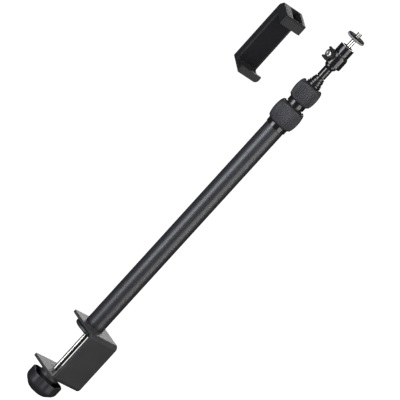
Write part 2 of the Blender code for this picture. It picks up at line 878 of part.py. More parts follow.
def holder_frame():
    """Empty that carries the holder: centred beside the pole, turned and leaned."""
    frame = bpy.data.objects.new("holder_frame", None)
    bpy.context.collection.objects.link(frame)
    turn = Matrix.Rotation(holder_bearing, 4, "Z")
    turn = turn @ Matrix.Rotation(holder_lean, 4, "X") @ Matrix.Rotation(holder_turn, 4, "Z")
    sideways = Vector((math.cos(holder_bearing), math.sin(holder_bearing), 0)) * holder_side
    centre = sideways + Vector((0, 0, holder_level))
    middle = Vector((holder_depth / 2, 0, holder_height / 2))
    frame.matrix_world = Matrix.Translation(centre) @ turn @ Matrix.Translation(-middle)
    return frame


def make_holder_body(frame):
    half = holder_width / 2
    outline = [
        (0, 0),
        (holder_depth, 0),
        (holder_depth, holder_lip_height),
        (holder_depth - holder_lip, holder_lip_height),
        (holder_depth - holder_lip, holder_floor),
        (holder_back, holder_floor),
        (holder_back, head_under - gap),
        (0, head_under - gap),
    ]
    bm = prism(outline, -half, half, "Y")

    def at_front(a, b):
        upright = abs(a.z - b.z) > holder_corner
        return upright and min(a.x, b.x) > holder_depth - gap

    round_edges(bm, holder_corner, at_front)
    body = add_object("holder_body", bm, matte_black, parent=frame)
    inside = half - holder_side_wall
    channel = box((-holder_lip, -inside, holder_base), (cavity_front, inside, holder_height))
    boolean(body, add_cutter("holder_channel", channel, parent=frame))
    for index, (side, level) in enumerate(boss_places()):
        boss = turned(rod(boss_radius, cavity_back, cavity_front + weld), 16, "+X")
        place = (0, side, level)
        boolean(body, add_cutter(f"boss_{index + 1}", boss, place, frame), "UNION")
        pilot = turned(rod(cover_screw_radius + gap, cavity_back - gap, cavity_front - pilot_end), 12, "+X")
        boolean(body, add_cutter(f"pilot_{index + 1}", pilot, place, frame))
    socket = turned(rod(insert_radius + gap, -insert_height, insert_height + gap), small_sides)
    boolean(body, add_cutter("insert_socket", socket, (holder_back / 2, 0, 0), frame))


def boss_places():
    """Four bosses near the channel's corners, as (sideways, level)."""
    low = holder_base + boss_inset
    high = head_under - boss_inset
    return [(side, level) for level in (low, high) for side in (-boss_spread, boss_spread)]


def make_holder_cover(frame):
    half = holder_width / 2 - holder_side_wall - gap
    bm = box((0, -half, holder_base + gap), (cover_thickness, half, head_under - gap))
    cover = add_object("holder_cover", bm, matte_black, parent=frame)
    for index, (side, level) in enumerate(boss_places()):
        sunk = [
            (0, -cover_thickness),
            (cover_screw_head + gap, -cover_thickness),
            (cover_screw_head + gap, cover_thickness / 2),
            (cover_screw_radius + gap, cover_thickness / 2),
            (cover_screw_radius + gap, 2 * cover_thickness),
            (0, 2 * cover_thickness),
        ]
        cutter = turned(sunk, 16, "+X")
        boolean(cover, add_cutter(f"cover_hole_{index + 1}", cutter, (0, side, level), frame))


def make_cover_screws(frame):
    head_foot = cover_thickness / 2 - gap
    outline = [
        (0, screw_sink),
        (cover_screw_head, screw_sink),
        (cover_screw_head, head_foot),
        (cover_screw_radius, head_foot),
        (cover_screw_radius, cavity_front - cover_screw_clear),
        (0, cavity_front - cover_screw_clear),
    ]
    for index, (side, level) in enumerate(boss_places()):
        name = f"cover_screw_{index + 1}"
        add_object(name, turned(outline, 12, "+X"), zinc, (0, side, level), frame)


def make_thread_insert(frame):
    bore = stud_radius + gap
    outline = ring(bore, insert_radius, 0, insert_height)
    add_object("thread_insert", turned(outline, small_sides), brass, (holder_back / 2, 0, 0), frame)


def make_holder_slider(frame):
    half = holder_width / 2
    outline = [
        (0, head_under),
        (holder_depth, head_under),
        (holder_depth, holder_height - holder_corner),
        (holder_depth - holder_corner, holder_height),
        (holder_chamfer, holder_height),
        (0, holder_height - holder_chamfer),
    ]
    bm = prism(outline, -half, half, "Y")

    def at_front(a, b):
        upright = abs(a.z - b.z) > holder_corner
        return upright and min(a.x, b.x) > holder_depth - gap

    round_edges(bm, holder_corner, at_front)
    slider = add_object("holder_slider", bm, matte_black, parent=frame)
    pocket_floor = holder_height - holder_pocket
    low = (pocket_back, pocket_near - half, pocket_floor)
    high = (holder_depth - holder_rim, half - pocket_far, 2 * holder_height)
    boolean(slider, add_cutter("head_pocket", box(low, high), parent=frame))
    tongue_low = (slider_back, -slider_width / 2, slider_foot)
    tongue_high = (slider_front, slider_width / 2, head_under + gap)
    tongue = box(tongue_low, tongue_high)
    boolean(slider, add_cutter("slider_tongue", tongue, parent=frame), "UNION")
    tab_low = (cavity_back + gap, -slider_width / 2, slider_foot)
    tab_high = (slider_back + tab_overlap, slider_width / 2, slider_foot + tab_height)
    tab = box(tab_low, tab_high)
    boolean(slider, add_cutter("slider_tab", tab, parent=frame), "UNION")


def make_holder_pads(frame):
    half = holder_width / 2 - holder_pad_margin
    front = holder_depth - holder_lip - gap - holder_pad
    back = holder_back + 2 * gap + holder_pad
    floor = holder_floor + gap
    lower = box((back, -half, floor), (front, half, floor + holder_pad))
    add_object("lower_jaw_pad", lower, rubber_black, parent=frame)
    upper = box((back, -half, head_under - gap - holder_pad), (front, half, head_under - gap))
    add_object("upper_jaw_pad", upper, rubber_black, parent=frame)
    low = (holder_back + gap, -half, floor + holder_pad + gap)
    high = (holder_back + gap + holder_pad, half, head_under - 2 * gap - holder_pad)
    add_object("holder_back_pad", box(low, high), rubber_black, parent=frame)


def coil(radius, wire, turns, foot, top):
    """Coil spring as a swept five-sided wire with closed ends."""
    bm = bmesh.new()
    steps = 8
    wire_sides = 5
    count = turns * steps
    rings = []
    for i in range(count + 1):
        angle = math.tau * i / steps
        outward = Vector((math.cos(angle), math.sin(angle), 0))
        centre = outward * radius + Vector((0, 0, foot + (top - foot) * i / count))
        section = []
        for k in range(wire_sides):
            turn = math.tau * k / wire_sides
            offset = outward * math.cos(turn) + Vector((0, 0, 1)) * math.sin(turn)
            section.append(bm.verts.new(centre + offset * wire))
        rings.append(section)
    for first, second in zip(rings, rings[1:]):
        for k in range(wire_sides):
            m = (k + 1) % wire_sides
            bm.faces.new((first[k], first[m], second[m], second[k]))
    bm.faces.new(rings[0])
    bm.faces.new(rings[-1])
    return bm


def make_holder_springs(frame):
    foot = holder_base + gap + spring_wire
    top = slider_foot - gap - spring_wire
    depth = (cavity_back + slider_back) / 2
    for name, side in (("holder_spring_left", -spring_spread), ("holder_spring_right", spring_spread)):
        bm = coil(spring_radius, spring_wire, spring_turns, foot, top)
        add_object(name, bm, zinc, (depth, side, 0), frame)


def make_phone_holder():
    frame = holder_frame()
    make_holder_body(frame)
    make_holder_cover(frame)
    make_cover_screws(frame)
    make_thread_insert(frame)
    make_holder_slider(frame)
    make_holder_pads(frame)
    make_holder_springs(frame)


remove_scene_objects()
make_clamp_bracket()
make_jaw_lining()
make_screw_bush()
make_pressure_foot()
make_foot_pad()
make_clamp_screw()
make_foot_rivet()
make_clamp_knob()
make_knob_insert()
make_pole()
make_head_adapter()
make_head_rod()
make_head_flange()
make_ball_housing()
make_ball_cap()
make_ball_seats()
make_ball_stem()
make_platform()
make_lock()
make_phone_holder()
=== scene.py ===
import json
import math

import bmesh
import bpy
from mathutils import Matrix, Vector


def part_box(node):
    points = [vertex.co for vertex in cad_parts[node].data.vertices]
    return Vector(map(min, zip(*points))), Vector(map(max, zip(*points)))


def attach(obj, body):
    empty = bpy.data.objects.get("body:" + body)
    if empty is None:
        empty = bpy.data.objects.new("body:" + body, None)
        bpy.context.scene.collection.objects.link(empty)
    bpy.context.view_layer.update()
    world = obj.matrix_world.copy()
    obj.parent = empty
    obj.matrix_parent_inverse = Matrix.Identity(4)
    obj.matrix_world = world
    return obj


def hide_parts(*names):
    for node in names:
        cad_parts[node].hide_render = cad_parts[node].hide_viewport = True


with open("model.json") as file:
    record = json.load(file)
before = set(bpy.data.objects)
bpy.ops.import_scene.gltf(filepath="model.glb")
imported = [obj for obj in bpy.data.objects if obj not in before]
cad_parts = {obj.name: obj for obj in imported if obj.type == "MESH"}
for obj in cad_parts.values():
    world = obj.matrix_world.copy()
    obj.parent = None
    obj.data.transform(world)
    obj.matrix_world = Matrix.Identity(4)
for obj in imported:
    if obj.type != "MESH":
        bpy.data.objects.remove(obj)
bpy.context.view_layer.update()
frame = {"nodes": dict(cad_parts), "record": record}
mm = 0.001
print("frame loaded")

# ---- small helpers for node trees


def addNode(tree, kind, **settings):
    node = tree.nodes.new(kind)
    for label, value in settings.items():
        setattr(node, label, value)
    return node


def wire(start, end):
    end.id_data.links.new(start, end)


def feed(socket, value):
    # a socket takes either another socket or a plain value
    if isinstance(value, bpy.types.NodeSocket):
        wire(value, socket)
    else:
        socket.default_value = value


def preset(node, values):
    for label, value in values.items():
        feed(node.inputs[label], value)


def calc(tree, operation, *values):
    node = addNode(tree, "ShaderNodeMath", operation=operation)
    for socket, value in zip(node.inputs, values):
        feed(socket, value)
    return node.outputs[0]


def mixColour(tree, share, first, second, blend="MIX"):
    node = addNode(tree, "ShaderNodeMix", data_type="RGBA", blend_type=blend)
    feed(node.inputs[0], share)
    feed(node.inputs[6], first)
    feed(node.inputs[7], second)
    return node.outputs[2]


def makeGroup(name, inputs, outputs):
    tree = bpy.data.node_groups.new(name, "ShaderNodeTree")
    for label, value in inputs.items():
        socket = tree.interface.new_socket(name=label, in_out="INPUT", socket_type="NodeSocketFloat")
        socket.default_value = value
    for label in outputs:
        tree.interface.new_socket(name=label, in_out="OUTPUT", socket_type="NodeSocketFloat")
    return tree, addNode(tree, "NodeGroupInput").outputs, addNode(tree, "NodeGroupOutput").inputs


def noiseAt(tree, scale, detail=3.0):
    # noise on object coordinates
    place = addNode(tree, "ShaderNodeTexCoord")
    noise = addNode(tree, "ShaderNodeTexNoise")
    preset(noise, {"Detail": detail, "Vector": place.outputs["Object"], "Scale": scale})
    return noise.outputs["Fac"]


# ---- shared effects
effectLook = dict(
    fineRatio=3.1, fineShare=0.5, wearFrom=0.53, wearTo=0.62, wearBreak=1.6,
    dustFrom=0.1, dustTo=0.9, dustSides=0.15, dustColour=(0.34, 0.33, 0.32, 1), dustDulls=0.6,
    mottle=1.22, bumpDepth=0.15,
)


def makeGrainGroup():
    tree, given, result = makeGroup("surfaceGrain", {"Scale": 900.0}, ["Height"])
    coarse = noiseAt(tree, given["Scale"])
    fineScale = calc(tree, "MULTIPLY", given["Scale"], effectLook["fineRatio"])
    fine = noiseAt(tree, fineScale, 1.0)
    fineShare = calc(tree, "MULTIPLY", fine, effectLook["fineShare"])
    wire(calc(tree, "ADD", coarse, fineShare), result["Height"])
    return tree


def makeGlossGroup():
    tree, given, result = makeGroup(
        "patchyGloss", {"Roughness": 0.4, "Spread": 0.1, "Scale": 40.0}, ["Roughness", "Patch"]
    )
    patch = noiseAt(tree, given["Scale"], 4.0)
    centred = calc(tree, "SUBTRACT", patch, 0.5)
    offset = calc(tree, "MULTIPLY", centred, given["Spread"])
    wire(calc(tree, "ADD", given["Roughness"], offset), result["Roughness"])
    wire(patch, result["Patch"])
    return tree


def makeWearGroup():
    tree, given, result = makeGroup("edgeWear", {"Amount": 0.5, "Scale": 220.0}, ["Mask"])
    shape = addNode(tree, "ShaderNodeNewGeometry")
    ramp = addNode(tree, "ShaderNodeMapRange")
    preset(ramp, {
        "Value": shape.outputs["Pointiness"],
        "From Min": effectLook["wearFrom"], "From Max": effectLook["wearTo"],
    })
    broken = calc(tree, "POWER", noiseAt(tree, given["Scale"]), effectLook["wearBreak"])
    worn = calc(tree, "MULTIPLY", ramp.outputs["Result"], broken)
    scaled = addNode(tree, "ShaderNodeMath", operation="MULTIPLY", use_clamp=True)
    wire(worn, scaled.inputs[0])
    wire(given["Amount"], scaled.inputs[1])
    wire(scaled.outputs[0], result["Mask"])
    return tree


def makeDustGroup():
    tree, given, result = makeGroup("dustFilm", {"Amount": 0.2, "Scale": 90.0}, ["Mask"])
    shape = addNode(tree, "ShaderNodeNewGeometry")
    split = addNode(tree, "ShaderNodeSeparateXYZ")
    wire(shape.outputs["Normal"], split.inputs[0])
    upward = addNode(tree, "ShaderNodeMapRange")
    preset(upward, {
        "Value": split.outputs["Z"], "From Min": effectLook["dustFrom"],
        "From Max": effectLook["dustTo"], "To Min": effectLook["dustSides"],
    })
    patch = noiseAt(tree, given["Scale"], 5.0)
    film = calc(tree, "MULTIPLY", upward.outputs["Result"], patch)
    wire(calc(tree, "MULTIPLY", film, given["Amount"]), result["Mask"])
    return tree


def makeTurningGroup():
    # fine rings that a lathe leaves, across the piece's own axis
    tree, given, result = makeGroup("turningRings", {"Rings": 2500.0, "Wander": 0.3}, ["Height"])
    place = addNode(tree, "ShaderNodeTexCoord")
    wave = addNode(tree, "ShaderNodeTexWave", wave_type="BANDS", bands_direction="Z")
    preset(wave, {
        "Vector": place.outputs["Object"], "Scale": given["Rings"], "Distortion": given["Wander"],
    })
    wire(wave.outputs["Fac"], result["Height"])
    return tree


effects = {
    "grain": makeGrainGroup(),
    "gloss": makeGlossGroup(),
    "wear": makeWearGroup(),
    "dust": makeDustGroup(),
    "rings": makeTurningGroup(),
}


def placeEffect(tree, effect, **values):
    node = addNode(tree, "ShaderNodeGroup")
    node.node_tree = effects[effect]
    preset(node, values)
    return node


# ---- finishes: the common values, then each finish with its own
commonLook = dict(
    spread=0.12, patch=60.0, bump=0.02, wear=0.3, dust=0.05, metallic=0.0, specular=0.5, rings=0.0,
)
finishes = {
    "powderBlack": dict(
        colour=(0.016, 0.0165, 0.020), worn=(0.12, 0.12, 0.13), roughness=0.36, grain=1500.0,
        spread=0.10, bump=0.05, wear=0.35,
    ),
    "bracketBlack": dict(
        colour=(0.018, 0.018, 0.0195), worn=(0.20, 0.20, 0.21), roughness=0.44, grain=1300.0,
        patch=45.0, bump=0.07, wear=0.6, dust=0.08,
    ),
    "polishedBlack": dict(
        colour=(0.006, 0.006, 0.007), worn=(0.07, 0.07, 0.08), roughness=0.19, grain=700.0,
        spread=0.05, patch=90.0, bump=0.01, wear=0.2, dust=0.03, specular=0.6,
    ),
    "collarBlack": dict(
        colour=(0.008, 0.008, 0.009), worn=(0.06, 0.06, 0.07), roughness=0.34, grain=1500.0,
        spread=0.10, patch=90.0, wear=0.25, dust=0.03, specular=0.3,
    ),
    "mouldedBlack": dict(
        colour=(0.010, 0.010, 0.011), worn=(0.05, 0.05, 0.055), roughness=0.50, grain=2200.0,
        spread=0.08, patch=70.0, wear=0.25, dust=0.03, specular=0.22,
    ),
    "knobBlack": dict(
        colour=(0.012, 0.012, 0.0145), worn=(0.10, 0.10, 0.11), roughness=0.42, grain=1800.0,
        bump=0.06, wear=0.4, specular=0.35,
    ),
    "gripRubber": dict(
        colour=(0.014, 0.014, 0.018), worn=(0.09, 0.09, 0.10), roughness=0.50, grain=2600.0,
        patch=80.0, bump=0.01, wear=0.9, dust=0.04, specular=0.4,
    ),
    "padRubber": dict(
        colour=(0.004, 0.004, 0.005), worn=(0.04, 0.04, 0.045), roughness=0.82, grain=2400.0,
        spread=0.10, bump=0.05, dust=0.03, specular=0.15,
    ),
    "darkPlatform": dict(
        colour=(0.15, 0.15, 0.16), worn=(0.42, 0.42, 0.43), roughness=0.44, grain=1500.0,
        patch=90.0, bump=0.03, wear=0.6, dust=0.08, metallic=0.5,
    ),
    "zincPlate": dict(
        colour=(0.50, 0.49, 0.46), worn=(0.68, 0.68, 0.66), roughness=0.30, grain=1200.0,
        patch=160.0, dust=0.06, metallic=1.0, rings=0.02,
    ),
    "brightChrome": dict(
        colour=(0.55, 0.54, 0.52), worn=(0.75, 0.75, 0.75), roughness=0.16, grain=900.0,
        spread=0.06, patch=120.0, bump=0.01, wear=0.2, metallic=1.0, rings=0.01,
    ),
    "turnedBrass": dict(
        colour=(0.70, 0.50, 0.20), worn=(0.86, 0.70, 0.40), roughness=0.26, grain=1100.0,
        spread=0.16, patch=140.0, bump=0.03, wear=0.4, dust=0.08, metallic=1.0, rings=0.05,
    ),
    "whiteNylon": dict(
        colour=(0.72, 0.72, 0.69), worn=(0.80, 0.80, 0.78), roughness=0.46, grain=1600.0,
        spread=0.10, bump=0.08, wear=0.2, dust=0.10, specular=0.45,
    ),
}


def makeFinish(name, look):
    material = bpy.data.materials.new(name)
    material.use_nodes = True
    tree = material.node_tree
    shader = tree.nodes["Principled BSDF"]
    gloss = placeEffect(
        tree, "gloss", Roughness=look["roughness"], Spread=look["spread"], Scale=look["patch"]
    )
    wear = placeEffect(tree, "wear", Amount=look["wear"])
    dust = placeEffect(tree, "dust", Amount=look["dust"])
    grain = placeEffect(tree, "grain", Scale=look["grain"])
    base = look["colour"]
    lighter = tuple(min(1, c * effectLook["mottle"] + 0.002) for c in base)
    mottled = mixColour(tree, gloss.outputs["Patch"], (*base, 1), (*lighter, 1))
    worn = mixColour(tree, wear.outputs["Mask"], mottled, (*look["worn"], 1))
    dusty = mixColour(tree, dust.outputs["Mask"], worn, effectLook["dustColour"])
    wire(dusty, shader.inputs["Base Color"])
    duller = calc(tree, "MULTIPLY", dust.outputs["Mask"], effectLook["dustDulls"])
    wire(calc(tree, "ADD", gloss.outputs["Roughness"], duller), shader.inputs["Roughness"])
    preset(shader, {"Metallic": look["metallic"], "Specular IOR Level": look["specular"]})
    height = grain.outputs["Height"]
    if look["rings"]:
        rings = placeEffect(tree, "rings")
        share = calc(tree, "MULTIPLY", rings.outputs["Height"], look["rings"] / look["bump"])
        height = calc(tree, "ADD", height, share)
    bump = addNode(tree, "ShaderNodeBump")
    preset(bump, {"Strength": look["bump"], "Distance": effectLook["bumpDepth"] * mm, "Height": height})
    wire(bump.outputs["Normal"], shader.inputs["Normal"])
    return material


materials = {name: makeFinish(name, {**commonLook, **look}) for name, look in finishes.items()}
print("finishes ready")

# ---- Geometry Nodes: a turned body with waves round it


def makeShapeTree(name, kinds):
    tree = bpy.data.node_groups.new(name, "GeometryNodeTree")
    tree.is_modifier = True
    for label, kind in {"Geometry": "Geometry", **kinds, "Material": "Material"}.items():
        tree.interface.new_socket(name=label, in_out="INPUT", socket_type="NodeSocket" + kind)
    tree.interface.new_socket(name="Geometry", in_out="OUTPUT", socket_type="NodeSocketGeometry")
    return tree, addNode(tree, "NodeGroupInput").outputs, addNode(tree, "NodeGroupOutput").inputs


mergeWithin = 0.002


def makeTurnedTree():
    # the incoming mesh is the outline, one point per row, with a wave weight on each point
    kinds = {"Segments": "Int", "Rows": "Int"}
    kinds.update(dict.fromkeys(("Waves", "Depth", "Sharpness", "Phase", "Twist"), "Float"))
    tree, given, result = makeShapeTree("turnedWaves", kinds)
    segments, rows = given["Segments"], given["Rows"]
    grid = addNode(tree, "GeometryNodeMeshGrid")
    wire(calc(tree, "ADD", segments, 1.0), grid.inputs["Vertices X"])
    rowCount = calc(tree, "ADD", rows, 1.0)
    wire(rowCount, grid.inputs["Vertices Y"])
    index = addNode(tree, "GeometryNodeInputIndex").outputs[0]
    column = calc(tree, "FLOOR", calc(tree, "DIVIDE", calc(tree, "ADD", index, 0.5), rowCount))
    row = calc(tree, "SUBTRACT", index, calc(tree, "MULTIPLY", column, rowCount))
    wrapped = calc(tree, "MODULO", calc(tree, "ROUND", row), rows)

    def sample(kind, value):
        node = addNode(tree, "GeometryNodeSampleIndex", data_type=kind, domain="POINT")
        preset(node, {"Geometry": given["Geometry"], "Value": value, "Index": wrapped})
        return node.outputs["Value"]

    stored = addNode(tree, "GeometryNodeInputNamedAttribute", data_type="FLOAT")
    stored.inputs["Name"].default_value = "wave"
    weight = sample("FLOAT", stored.outputs["Attribute"])
    split = addNode(tree, "ShaderNodeSeparateXYZ")
    position = addNode(tree, "GeometryNodeInputPosition").outputs[0]
    wire(sample("FLOAT_VECTOR", position), split.inputs[0])
    share = calc(tree, "DIVIDE", column, segments)
    angle = calc(tree, "MULTIPLY", share, math.tau)
    turned = calc(tree, "MULTIPLY", calc(tree, "SUBTRACT", angle, given["Phase"]), given["Waves"])
    turns = calc(tree, "MULTIPLY", split.outputs["Z"], given["Twist"])
    climb = calc(tree, "MULTIPLY", turns, -math.tau)
    swing = calc(tree, "COSINE", calc(tree, "ADD", turned, climb))
    dip = calc(tree, "SUBTRACT", 0.5, calc(tree, "MULTIPLY", swing, 0.5))
    shaped = calc(tree, "POWER", dip, given["Sharpness"])
    cut = calc(tree, "MULTIPLY", calc(tree, "MULTIPLY", shaped, given["Depth"]), weight)
    radius = calc(tree, "SUBTRACT", split.outputs["X"], cut)
    place = addNode(tree, "ShaderNodeCombineXYZ")
    wire(calc(tree, "MULTIPLY", radius, calc(tree, "COSINE", angle)), place.inputs[0])
    wire(calc(tree, "MULTIPLY", radius, calc(tree, "SINE", angle)), place.inputs[1])
    wire(split.outputs["Z"], place.inputs[2])
    move = addNode(tree, "GeometryNodeSetPosition")
    wire(grid.outputs["Mesh"], move.inputs["Geometry"])
    wire(place.outputs[0], move.inputs["Position"])
    merge = addNode(tree, "GeometryNodeMergeByDistance")
    preset(merge, {"Distance": mergeWithin, "Geometry": move.outputs[0]})
    smooth = addNode(tree, "GeometryNodeSetShadeSmooth")
    wire(merge.outputs[0], smooth.inputs["Geometry"])
    finishTree(tree, smooth.outputs[0], given, result)
    return tree


def finishTree(tree, geometry, given, result):
    real = addNode(tree, "GeometryNodeRealizeInstances")
    wire(geometry, real.inputs[0])
    paint = addNode(tree, "GeometryNodeSetMaterial")
    wire(real.outputs[0], paint.inputs["Geometry"])
    wire(given["Material"], paint.inputs["Material"])
    wire(paint.outputs[0], result["Geometry"])


def makeCopiesTree():
    # a copy of the Piece object on every point of the incoming mesh
    tree, given, result = makeShapeTree("copiesOnPoints", {"Piece": "Object"})
    points = addNode(tree, "GeometryNodeMeshToPoints")
    wire(given["Geometry"], points.inputs["Mesh"])
    source = addNode(tree, "GeometryNodeObjectInfo")
    wire(given["Piece"], source.inputs["Object"])
    copies = addNode(tree, "GeometryNodeInstanceOnPoints")
    wire(points.outputs[0], copies.inputs["Points"])
    wire(source.outputs["Geometry"], copies.inputs["Instance"])
    finishTree(tree, copies.outputs[0], given, result)
    return tree


turnedTree = makeTurnedTree()
copiesTree = makeCopiesTree()


def newObject(name, data):
    item = bpy.data.objects.new(name, data)
    bpy.context.collection.objects.link(item)
    return item


def runTree(tree, mesh, inputs):
    # put the tree on a temporary object and return its result as a plain mesh
    holder = newObject("treeHolder", mesh)
    modifier = holder.modifiers.new("tree", "NODES")
    modifier.node_group = tree
    for item in tree.interface.items_tree:
        if item.in_out == "INPUT" and item.name in inputs:
            modifier[item.identifier] = inputs[item.name]
    made = settle(holder)
    bpy.data.objects.remove(holder)
    return made


def settle(item):
    # the evaluated mesh of an object, with its modifiers in it
    graph = bpy.context.evaluated_depsgraph_get()
    graph.update()
    made = bpy.data.meshes.new_from_object(item.evaluated_get(graph))
    item.modifiers.clear()
    return made


# ---- outlines and meshes, all in millimetres until addPiece


def softOutline(points, bend, steps=4):
    # round every corner of a closed (radius, height) outline that is off the axis
    rounded = []
    count = len(points)
    for i, point in enumerate(points):
        here = Vector(point[:2])
        before, after = Vector(points[i - 1][:2]), Vector(points[(i + 1) % count][:2])
        size = point[2] if len(point) > 2 else bend
        if here.x < 1e-4 or size <= 0:
            rounded.append((here.x, here.y))
            continue
        reach = min(size, 0.48 * (before - here).length, 0.48 * (after - here).length)
        start = here + (before - here).normalized() * reach
        end = here + (after - here).normalized() * reach
        for k in range(steps + 1):
            t = k / steps
            spot = start * (1 - t) ** 2 + here * 2 * t * (1 - t) + end * t ** 2
            rounded.append((spot.x, spot.y))
    return rounded


def turn(points, material, segments=96, place=None, **waves):
    # spin a closed (radius, height) outline about Z; waves cut where a point's third value says
    mesh = bpy.data.meshes.new("outline")
    mesh.from_pydata([(point[0], 0, point[1]) for point in points], [], [])
    stored = mesh.attributes.new("wave", "FLOAT", "POINT")
    stored.data.foreach_set("value", [sum(point[2:]) for point in points])
    inputs = {"Segments": segments, "Rows": len(points), "Material": materials[material]}
    inputs.update({"Waves": 1.0, "Depth": 0.0, "Sharpness": 1.0, "Phase": 0.0, "Twist": 0.0, **waves})
    made = runTree(turnedTree, mesh, inputs)
    if place is not None:
        made.transform(place)
    return made


def tidyMesh(mesh, sharp):
    bm = bmesh.new()
    bm.from_mesh(mesh)
    bmesh.ops.remove_doubles(bm, verts=bm.verts, dist=1e-7)
    bmesh.ops.dissolve_degenerate(bm, edges=bm.edges, dist=1e-8)
    bmesh.ops.recalc_face_normals(bm, faces=bm.faces)
    bm.to_mesh(mesh)
    bm.free()
    mesh.shade_smooth()
    mesh.set_sharp_from_angle(angle=math.radians(sharp))
    return mesh


def joinMeshes(meshes):
    bm = bmesh.new()
    for mesh in meshes:
        bm.from_mesh(mesh)
    joined = meshes[0].copy()
    bm.to_mesh(joined)
    bm.free()
    return joined


def addPiece(mesh, node, body, slotName, material=None, sharp=34, tidy=True, name=None, replaced=()):
    # a piece is named after the node it replaces, unless it has a name of its own
    mesh.transform(Matrix.Scale(mm, 4))
    if tidy:
        tidyMesh(mesh, sharp)
    if material:
        mesh.materials.clear()
        mesh.materials.append(materials[material])
    first, *rest = node.split("_")
    label = name or first + "".join(word.capitalize() for word in rest)
    mesh.name = label
    piece = newObject(label, mesh)
    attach(piece, body)
    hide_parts(*(replaced or [node]))


def addTurned(node, body, slotName, outline, bend, finish, segments=96, place=None):
    addPiece(turn(softOutline(outline, bend), finish, segments, place=place), node, body, slotName)


def arc(centre, radius, start, end, steps):
    angles = [math.radians(start + (end - start) * i / steps) for i in range(steps + 1)]
    return [(centre[0] + radius * math.cos(a), centre[1] + radius * math.sin(a)) for a in angles]


def threadRows(radius, start, end, steps, first, last, weight=1.0):
    # rows of a thread for turn, plain at both ends
    heights = [start + (end - start) * i / steps for i in range(steps + 1)]
    return [
        (radius, height, weight if first < i < steps - last else 0.0) for i, height in enumerate(heights)
    ]


def extrude(outline, low, high, across="X"):
    # flat outline to a solid: (y, z) points along X, (x, z) points along Y, (x, y) points along Z
    order = {
        "X": lambda a, b: (low, a, b), "Y": lambda a, b: (a, low, b), "Z": lambda a, b: (a, b, low),
    }[across]
    push = {"X": (1, 0, 0), "Y": (0, 1, 0), "Z": (0, 0, 1)}[across]
    bm = bmesh.new()
    face = bm.faces.new([bm.verts.new(order(a, b)) for a, b in outline])
    extruded = bmesh.ops.extrude_face_region(bm, geom=[face])
    moved = [v for v in extruded["geom"] if isinstance(v, bmesh.types.BMVert)]
    bmesh.ops.translate(bm, verts=moved, vec=Vector(push) * (high - low))
    bmesh.ops.recalc_face_normals(bm, faces=bm.faces)
    return bm


def roundCorners(bm, radius, chosen, steps=6):
    edges = [e for e in bm.edges if chosen(e.verts[0].co, e.verts[1].co)]
    bmesh.ops.bevel(bm, geom=edges, offset=radius, segments=steps, profile=0.5, affect="EDGES")
    return bm


def block(low, high):
    bm = bmesh.new()
    size = Vector(high) - Vector(low)
    centre = (Vector(high) + Vector(low)) / 2
    bmesh.ops.create_cube(bm, size=1, matrix=Matrix.Translation(centre) @ Matrix.Diagonal((*size, 1)))
    return bm


def cylinder(low, high, radius, segments=48):
    # plain round cutter between two points
    bm = bmesh.new()
    bmesh.ops.create_cone(bm, cap_ends=True, segments=segments, radius1=radius, radius2=radius, depth=1)
    length = (Vector(high) - Vector(low)).length
    turnIt = (Vector(high) - Vector(low)).to_track_quat("Z", "Y").to_matrix().to_4x4()
    middle = Matrix.Translation((Vector(high) + Vector(low)) / 2)
    bmesh.ops.transform(bm, matrix=middle @ turnIt @ Matrix.Diagonal((1, 1, length, 1)), verts=bm.verts)
    return bm


def drill(start, end, radius):
    return cylinder((0, 0, start), (0, 0, end), radius)


def bmeshFrom(mesh):
    bm = bmesh.new()
    bm.from_mesh(mesh)
    return bm


def toObject(bm, name="work"):
    mesh = bpy.data.meshes.new(name)
    bm.to_mesh(mesh)
    bm.free()
    return newObject(name, mesh)


def carve(bm, cuts=(), adds=(), bevel=0.5):
    # cut and join bodies, then round every edge, and return a plain mesh
    item = toObject(bm)
    helpers = []
    for operation, bodies in (("UNION", adds), ("DIFFERENCE", cuts)):
        for body in bodies:
            helper = toObject(body, "helper")
            modifier = item.modifiers.new("cut", "BOOLEAN")
            modifier.operation = operation
            modifier.solver = "EXACT"
            modifier.object = helper
            helpers.append(helper)
    if bevel:
        edge = item.modifiers.new("edge", "BEVEL")
        edge.width = bevel
        edge.segments = 3
        edge.limit_method = "ANGLE"
        edge.angle_limit = math.radians(30)
        edge.use_clamp_overlap = True
        even = item.modifiers.new("even", "WEIGHTED_NORMAL")
        even.keep_sharp = True
    for polygon in item.data.polygons:
        polygon.use_smooth = True
    made = settle(item)
    for helper in [*helpers, item]:
        bpy.data.objects.remove(helper)
    return made


def copiesOf(bm, spots, finish):
    # one mesh with a copy of the body on every spot
    item = toObject(bm, "copied")
    points = bpy.data.meshes.new("spots")
    points.from_pydata(spots, [], [])
    made = runTree(copiesTree, points, {"Piece": item, "Material": materials[finish]})
    bpy.data.objects.remove(item)
    return made


def boxOf(node):
    low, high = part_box(node)
    return low / mm, high / mm


def radiusOf(node):
    low, high = boxOf(node)
    return (high.x - low.x) / 2


def spanOf(node):
    low, high = boxOf(node)
    return low.z, high.z


def roundSize(node):
    return *spanOf(node), radiusOf(node)


print("tools ready")

# ---- clamp, with the gap that stays open between pieces that meet
gap = 0.3
bracketLook = dict(plate=3.6, bend=6.0, tip=3.0, edge=0.55, boltSink=0.4, boltBore=3.3, bushBore=6.2)


